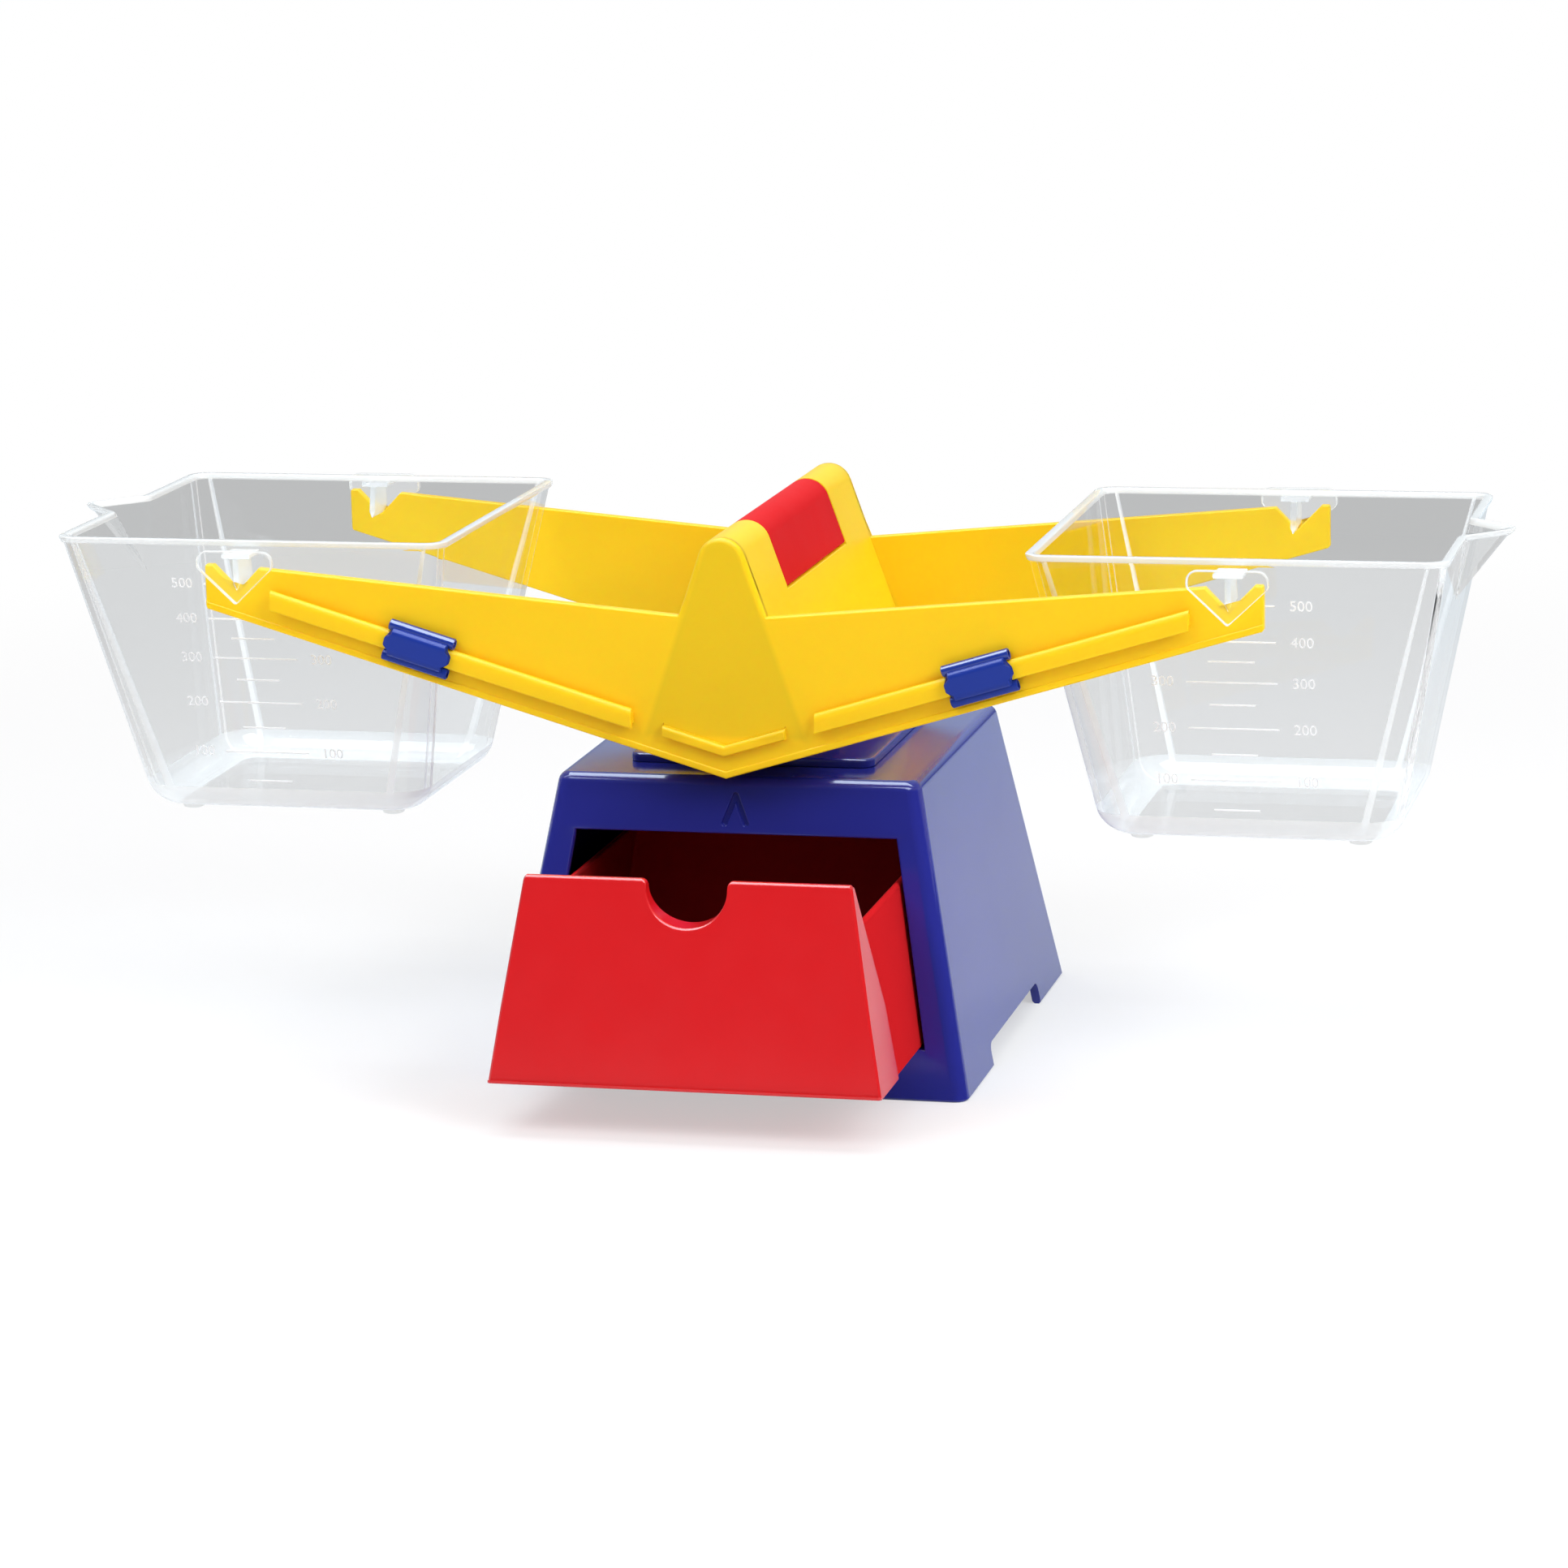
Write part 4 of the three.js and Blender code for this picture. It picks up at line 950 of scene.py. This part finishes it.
clipFinishes = [finishes["clipBlue"], finishes["rollBlue"]]
for name, at in sliderSpec["places"].items():
    body = "slider_left" if at < 0 else "slider_right"
    makePiece(name, sliderParts(at), body, clipFinishes, [body])


# buckets: one closed skin from the outside of the floor, up and over the rim, down to the inside of the floor

bucketSpec = {
    "length": 111.9, "depth": 112.3, "floorLength": 81.8, "floorDepth": 75.0, "height": 81.1, "rimRise": 12.6,
    "wall": 1.8, "rimCorner": 5, "floorCorner": 11, "fillet": 7,
    "bead": 0.8, "beadHeight": 2.2, "rimBand": 1.7,
    "spoutReach": 12.05, "spoutHalf": 14, "spoutDrop": 20, "spoutTip": 1.6, "spoutSide": 6,
    "foot": 3.2, "footHeight": 1.5, "footX": 29.9, "footY": 27, "footRound": 0.8,
    "lugGap": 0.7, "apart": 0.02, "web": 1.6, "webLow": 0.3, "webPoint": 1.9, "webEdge": 0.05,
    "flangeWidth": 8, "flangeThick": 1.3, "flangeTop": 10.3, "flangeCorner": 0.3,
    "shield": 1.8, "shieldHalf": 11, "shieldTop": 11.4, "shieldCorner": 3, "shieldEdge": 0.4,
    "shoulder": 6.7, "shoulderCorner": 2.0, "point": -3.7, "pointCorner": 0.8,
}


def bucketWallY(z):
    # outside of the long walls at a height from the hanging line
    s = bucketSpec
    share = (np.asarray(z, float) - s["rimRise"] + s["height"]) / s["height"]
    return tapered(s["floorDepth"], s["depth"], share) / 2


def bucketSkin():
    s = bucketSpec
    h, w, f, bead, drop = s["height"], s["wall"], s["fillet"], s["bead"], s["height"] - s["spoutDrop"]
    turn = quarterTurn(8)
    inFillet = f - w
    up = np.concatenate([np.linspace(f, drop, 8)[1:], np.linspace(drop, h - s["beadHeight"], 20)[1:]])
    beadUp = np.array([1.9, 1.6, 1.2, 0.5, 0.2, 0.0])
    beadOut = np.array([0.45, 0.7, bead, bead, bead - 0.15, bead - 0.5])
    lipDown = np.array([0.0, 0.2, 0.5])
    lipIn = np.array([w - 0.5, w - 0.15, w])
    down = np.concatenate([np.linspace(h - 0.5, drop, 20)[1:], np.linspace(drop, f, 8)[1:]])
    height = np.concatenate([f * (1 - np.cos(turn)), up, h - beadUp, h - lipDown, down,
                             (w + inFillet * (1 - np.cos(turn)))[::-1][1:]])
    inset = np.concatenate([f * (1 - np.sin(turn)), np.zeros(len(up)), -beadOut, lipIn, np.full(len(down), w),
                            (w + inFillet * (1 - np.sin(turn)))[::-1][1:]])
    share = height / h
    halfX = tapered(s["floorLength"], s["length"], share) / 2 - inset
    halfY = tapered(s["floorDepth"], s["depth"], share) / 2 - inset
    radius = np.maximum(tapered(s["floorCorner"], s["rimCorner"], share) - inset, 1.0)
    few, many = (np.linspace(0, 1, count + 2)[1:-1] for count in (4, 71))
    cornerSteps = 8
    x, y = roundedRing(halfX, halfY, radius, cornerSteps, [few, few, few, many])
    # the beak: the end wall is pushed out by a soft wedge that grows from nothing to the rim
    grow = np.clip((height - drop) / s["spoutDrop"], 0, 1)[:, None]
    rim = np.maximum(s["spoutHalf"] * grow, 1e-3)
    ramp = s["spoutReach"] / (s["spoutHalf"] - s["spoutTip"]) * (rim - np.abs(y))
    ramp = 0.5 * (ramp + np.sqrt(ramp ** 2 + 0.5 * grow))
    cap = s["spoutReach"] * grow
    push = cap - 0.5 * ((cap - ramp) + np.sqrt((cap - ramp) ** 2 + 1.2 * grow))
    onEnd = (x > halfX[:, None] - 1e-6) & (np.abs(y) < s["spoutHalf"] + s["spoutSide"])
    x = x + np.where(onEnd, np.maximum(push, 0), 0)
    # painted highlight: the rim rows, the corner strips and the floor's rounding get a whiter, less clear
    # finish for the light they catch, so they look whiter than the flat walls
    wall, edge, bend, inside = range(4)
    corners = np.arange(4)[:, None] * (cornerSteps + 1 + len(few)) + (0, cornerSteps - 1)
    isCorner = np.isin(np.arange(x.shape[1]), corners)
    row = np.arange(len(height) - 1)
    isInside = row > len(turn) + len(up) + len(beadUp) + len(lipDown) - 2
    bands = np.where(isInside[:, None], inside, wall) + np.zeros((1, x.shape[1]), int)
    bands[isCorner[None] | (row < len(turn) - 1)[:, None]] = bend
    bands[(height[:-1] > h - s["rimBand"]) & (height[1:] > h - s["rimBand"])] = edge
    skin = closedPart(x, y, (height - h + s["rimRise"])[:, None], bands)
    skin[2][-1] = inside
    return skin


def bucketFeet():
    s = bucketSpec
    top = s["rimRise"] - s["height"] - s["apart"]
    low = top - s["footHeight"] + s["apart"]
    r, bend, near = s["foot"], s["footRound"], 0.25
    profile = [(r - bend, low), (r - near, low + near), (r, low + bend), (r, top)]
    return [turnedPart(sx * s["footX"], sy * s["footY"], 32, profile) for sx in (-1, 1) for sy in (-1, 1)]


def bucketLugs():
    s = bucketSpec
    # the lugs get the whiter edge finish, a painted highlight for the light they catch
    gap, glintFinish = s["apart"], 1
    yIn = beamSpec["face"] + s["lugGap"]
    half, top, shoulder, bend = s["shieldHalf"], s["shieldTop"], s["shoulder"], s["shieldCorner"]
    outline = filletLoop(
        [[0, s["point"]], [half, shoulder], [half, top], [-half, top], [-half, shoulder]],
        [s["pointCorner"], s["shoulderCorner"], bend, bend, s["shoulderCorner"]], 6)
    shield = alongYAxis(outline, softEnds(yIn, yIn + s["shield"], s["shieldEdge"]), glintFinish)
    wide, high, low = s["flangeWidth"] / 2, s["flangeTop"], s["flangeTop"] - s["flangeThick"]
    outline = filletLoop([[-wide, low], [wide, low], [wide, high], [-wide, high]], [s["flangeCorner"]] * 4, 3)
    flange = alongYAxis(outline, [(s["depth"] / 2 + s["bead"] + gap, 0), (yIn - gap, 0)], glintFinish)
    # the web: a plate across the notch, pointed below, its inner end following the bucket's wall
    right = np.array([[s["webEdge"], s["webLow"]], [s["web"] / 2, s["webPoint"]], [s["web"] / 2, low - gap]])
    x, z = np.concatenate([right, right[::-1] * (-1, 1)]).T
    y = np.stack([bucketWallY(z) + gap, np.full(len(z), yIn - gap)])
    web = closedPart(x, y, z, np.full(1, glintFinish))
    rear = [shield, flange, web]
    return rear + turned(rear, math.pi)


def bucketParts(side):
    parts = [bucketSkin()] + bucketFeet() + bucketLugs()
    if side < 0:
        parts = turned(parts, math.pi)
    return moved(parts, (side * beamSpec["notchX"], 0, beamSpec["hang"]))


for name, side, body in (("bucketLeft", -1, "bucket_left"), ("bucketRight", 1, "bucket_right")):
    makePiece(name, bucketParts(side), body, clearFinishes, [body], weld=False)


# measuring marks on the front wall of each bucket: long and short bars with plain numbers

markSpec = {
    "heights": {50: 9.4, 100: 18.1, 150: 25.5, 200: 33.0, 250: 39.8,
                300: 46.2, 350: 52.1, 400: 57.8, 450: 63.1, 500: 68.1},
    "long": (-14.0, 10.5), "short": (-8.0, 4.5), "stroke": 0.55, "proud": 0.12, "off": 0.005,
    "numbersAt": (-20.5, 17.5), "numberSize": 4.2,
}


def wallFrame(side, x, height):
    # a point on the front wall's outside, x from the bucket's middle and height from its floor
    s, b = bucketSpec, beamSpec
    z = s["rimRise"] - s["height"] + height
    return np.array([side * b["notchX"] + x, -bucketWallY(z), b["hang"] + z])


def wallAxes():
    # directions up along the front wall and straight out of it
    s = bucketSpec
    rise = math.atan((s["depth"] - s["floorDepth"]) / 2 / s["height"])
    return np.array([0, -math.sin(rise), math.cos(rise)]), np.array([0, -math.cos(rise), -math.sin(rise)])


def barPart(side, ends, height):
    # a low bar with sloping flanks: a trapezoid section carried from end to end
    m = markSpec
    up, out = wallAxes()
    v = np.array([-0.5, -0.3, 0.3, 0.5])[:, None] * m["stroke"]
    o = np.array([m["off"], 1, 1, m["off"]])[:, None] * m["proud"]
    rows = [wallFrame(side, x, height) + v * up + o * out for x in ends]
    return gridPart(np.array(rows), capFirst=True, capLast=True)


def numberPart(side, text, x, height):
    # a flat number lifted off the font as triangles and laid on the wall
    m = markSpec
    curve = bpy.data.curves.new("number", "FONT")
    curve.body, curve.size = text, m["numberSize"]
    curve.align_x, curve.align_y = "CENTER", "CENTER"
    curve.extrude = m["proud"] / 2
    curve.resolution_u = 4
    holder = bpy.data.objects.new("number", curve)
    bpy.context.scene.collection.objects.link(holder)
    bpy.context.view_layer.update()
    flat = holder.to_mesh()
    points = np.zeros(len(flat.vertices) * 3)
    flat.vertices.foreach_get("co", points)
    points = points.reshape(-1, 3)
    faces = [list(face.vertices) for face in flat.polygons]
    holder.to_mesh_clear()
    bpy.data.objects.remove(holder)
    bpy.data.curves.remove(curve)
    up, out = wallAxes()
    lift = points[:, 2:] + m["proud"] / 2 + m["off"]
    placed = wallFrame(side, x, height) + points[:, :1] * (1, 0, 0) + points[:, 1:2] * up + lift * out
    return placed, faces, np.zeros(len(faces), int)


def markParts(side):
    m = markSpec
    parts = []
    for amount, height in m["heights"].items():
        numbered = amount % 100 == 0
        parts.append(barPart(side, m["long"] if numbered else m["short"], height))
        if numbered:
            parts += [numberPart(side, str(amount), x, height) for x in m["numbersAt"]]
    return parts


for name, side, body in (("marksLeft", -1, "bucket_left"), ("marksRight", 1, "bucket_right")):
    makePiece(name, markParts(side), body, [finishes["print"]], weld=False)


# screws keep their solids and get the steel finish

for name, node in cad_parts.items():
    if "screw" in name:
        refinish(node, steel)
        print("steel on", name)


# studio: pale floor, even white surroundings and broad soft lamps

studioSpec = {
    "floor": (0.86, 0.86, 0.87), "floorHalf": 6.0, "floorRough": 0.9, "nearFloor": 0.40, "farFloor": 0.85,
    "nearGlow": 0.5, "sky": 0.5, "lowSky": 0.12, "skyFrom": 0.25, "skyTo": 0.75,
    "horizon": 0.1, "lean": 0.35, "wallFrom": 0.3, "wallTo": 0.6,
    "behindOne": 0.60, "behindTwo": 0.82, "mirrored": (0.78, 0.91, 1.0), "dullBounce": -50.0,
}
lampSpec = {  # the glint lamp is only seen in rounded edges, the others only light
    "leftLamp": {"place": (-0.9, -1.3, 1.6), "aim": 0.08, "size": (1.2, 1.0), "power": 16},
    "rightLamp": {"place": (1.6, -0.9, 1.4), "aim": 0.08, "size": (1.0, 1.2), "power": 28},
    "topLamp": {"place": (0, 0.15, 1.8), "aim": 0.05, "size": (2.2, 0.6), "power": 14},
    "glintLamp": {"place": (-0.2, -0.3, 1.6), "aim": 0.1, "size": (3.0, 1.6), "power": 170,
                  "tint": (0.80, 0.91, 1.0)},
}


def seenDirectly(tree):
    # 1 for rays from the camera or through clear pieces, 1 for rays off shiny faces, and the white they see
    s = studioSpec
    path = tree.nodes.new("ShaderNodeLightPath").outputs
    # a ray that has left a dull surface never counts, however many clear faces it has crossed
    crossed = path["Transmission Depth"]
    through = maths(tree, "MULTIPLY_ADD", path["Diffuse Depth"], s["dullBounce"], crossed, clamp=True)
    direct = maths(tree, "MAXIMUM", path["Is Camera Ray"], through, clamp=True)
    # 0 after the two faces of one wall, 1 after two walls
    twoWalls = maths(tree, "MULTIPLY_ADD", crossed, 0.5, -1.0, clamp=True)
    white = blend(tree, through, 1.0, blend(tree, twoWalls, s["behindOne"], s["behindTwo"]))
    mirrored = maths(tree, "SUBTRACT", path["Is Glossy Ray"], through, clamp=True)
    return direct, mirrored, white


def coolMirror(tree, mirrored):
    # white, but a cool white to rays off shiny surfaces
    return blend(tree, mirrored, (1, 1, 1, 1), (*studioSpec["mirrored"], 1), "RGBA")


def floorPaper():
    # lit paper round the object, which holds the shadow, fading to plain white farther out
    s = studioSpec
    material, tree, shader = newMaterial("floorPaper")
    feedAll(tree, shader, {"Base Color": (*s["floor"], 1), "Roughness": s["floorRough"],
                           "Specular IOR Level": 0.0})
    away = tree.nodes.new("ShaderNodeVectorMath")
    away.operation = "LENGTH"
    feed(tree, away.inputs[0], tree.nodes.new("ShaderNodeTexCoord").outputs["Object"])
    fade = smoothRange(tree, away.outputs["Value"], s["nearFloor"], s["farFloor"], s["nearGlow"], 1.0)
    direct, mirrored, white = seenDirectly(tree)
    glow = tree.nodes.new("ShaderNodeEmission")
    feedAll(tree, glow, {"Color": coolMirror(tree, mirrored), "Strength": white})
    seen = maths(tree, "MAXIMUM", direct, mirrored, clamp=True)
    chooseShader(tree, maths(tree, "MULTIPLY", fade, seen), shader.outputs["BSDF"], glow.outputs["Emission"])
    return material


def buildWorld():
    # white to the eye; as light, a soft dome that is brightest overhead
    # shiny faces see a bright rear wall and ceiling
    s = studioSpec
    world = bpy.data.worlds.new("studio")
    bpy.context.scene.world = world
    world.use_nodes = True
    tree = world.node_tree
    way = splitPlace(tree, "Generated")
    direct, mirrored, white = seenDirectly(tree)
    dome = smoothRange(tree, way["Z"], s["skyFrom"], s["skyTo"], s["lowSky"], s["sky"])
    leaning = maths(tree, "MULTIPLY_ADD", way["Y"], s["lean"], way["Z"])
    rearWall = smoothRange(tree, leaning, s["wallFrom"], s["wallTo"], s["horizon"], 1.0)
    level = blend(tree, mirrored, dome, rearWall)
    feedAll(tree, tree.nodes["Background"], {
        "Color": coolMirror(tree, mirrored), "Strength": blend(tree, direct, level, white)})


def buildFloor():
    half = studioSpec["floorHalf"]
    mesh = bpy.data.meshes.new("floor")
    corners = [(-half, -half, 0), (half, -half, 0), (half, half, 0), (-half, half, 0)]
    mesh.from_pydata(corners, [], [(0, 1, 2, 3)])
    mesh.materials.append(floorPaper())
    floor = bpy.data.objects.new("floor", mesh)
    bpy.context.scene.collection.objects.link(floor)


def buildLamp(name, s):
    light = bpy.data.lights.new(name, "AREA")
    light.shape, light.energy = "RECTANGLE", s["power"]
    light.size, light.size_y = s["size"]
    isGlint = "tint" in s
    if isGlint:
        light.color = s["tint"]
    lamp = bpy.data.objects.new(name, light)
    lamp.location = s["place"]
    lamp.rotation_euler = (Vector((0, 0, s["aim"])) - Vector(s["place"])).to_track_quat("-Z", "Y").to_euler()
    lamp.visible_diffuse, lamp.visible_glossy, lamp.visible_transmission = not isGlint, isGlint, False
    bpy.context.scene.collection.objects.link(lamp)


buildFloor()
buildWorld()
for name, settings in lampSpec.items():
    buildLamp(name, settings)
print("studio ready")


# camera at the photograph's place

cameraSpec = {"focal": 6339.2 / 1932 * 36, "sensor": 36, "yaw": 14.022, "pitch": 12.577, "roll": 1.390,
              "target": (-0.053, 0.0, 70.666), "distance": 1455.94}


def buildCamera():
    s = cameraSpec
    yaw, pitch, roll = (math.radians(s[k]) for k in ("yaw", "pitch", "roll"))
    back = np.array([math.sin(yaw) * math.cos(pitch), -math.cos(yaw) * math.cos(pitch), math.sin(pitch)])
    right = np.array([math.cos(yaw), math.sin(yaw), 0])
    up = np.cross(back, right)
    across = math.cos(roll) * right - math.sin(roll) * up
    upward = math.sin(roll) * right + math.cos(roll) * up
    place = (np.array(s["target"]) + (0, middleY, 0) + back * s["distance"]) / 1000
    data = bpy.data.cameras.new("camera")
    data.lens, data.sensor_width, data.sensor_fit = s["focal"], s["sensor"], "HORIZONTAL"
    data.clip_end = 50
    camera = bpy.data.objects.new("camera", data)
    turn = Matrix((tuple(across), tuple(upward), tuple(back))).transposed()
    camera.matrix_world = Matrix.Translation(Vector(place)) @ turn.to_4x4()
    bpy.context.scene.collection.objects.link(camera)
    bpy.context.scene.camera = camera


buildCamera()
bpy.context.scene.view_settings.view_transform = "Standard"
print("camera ready")
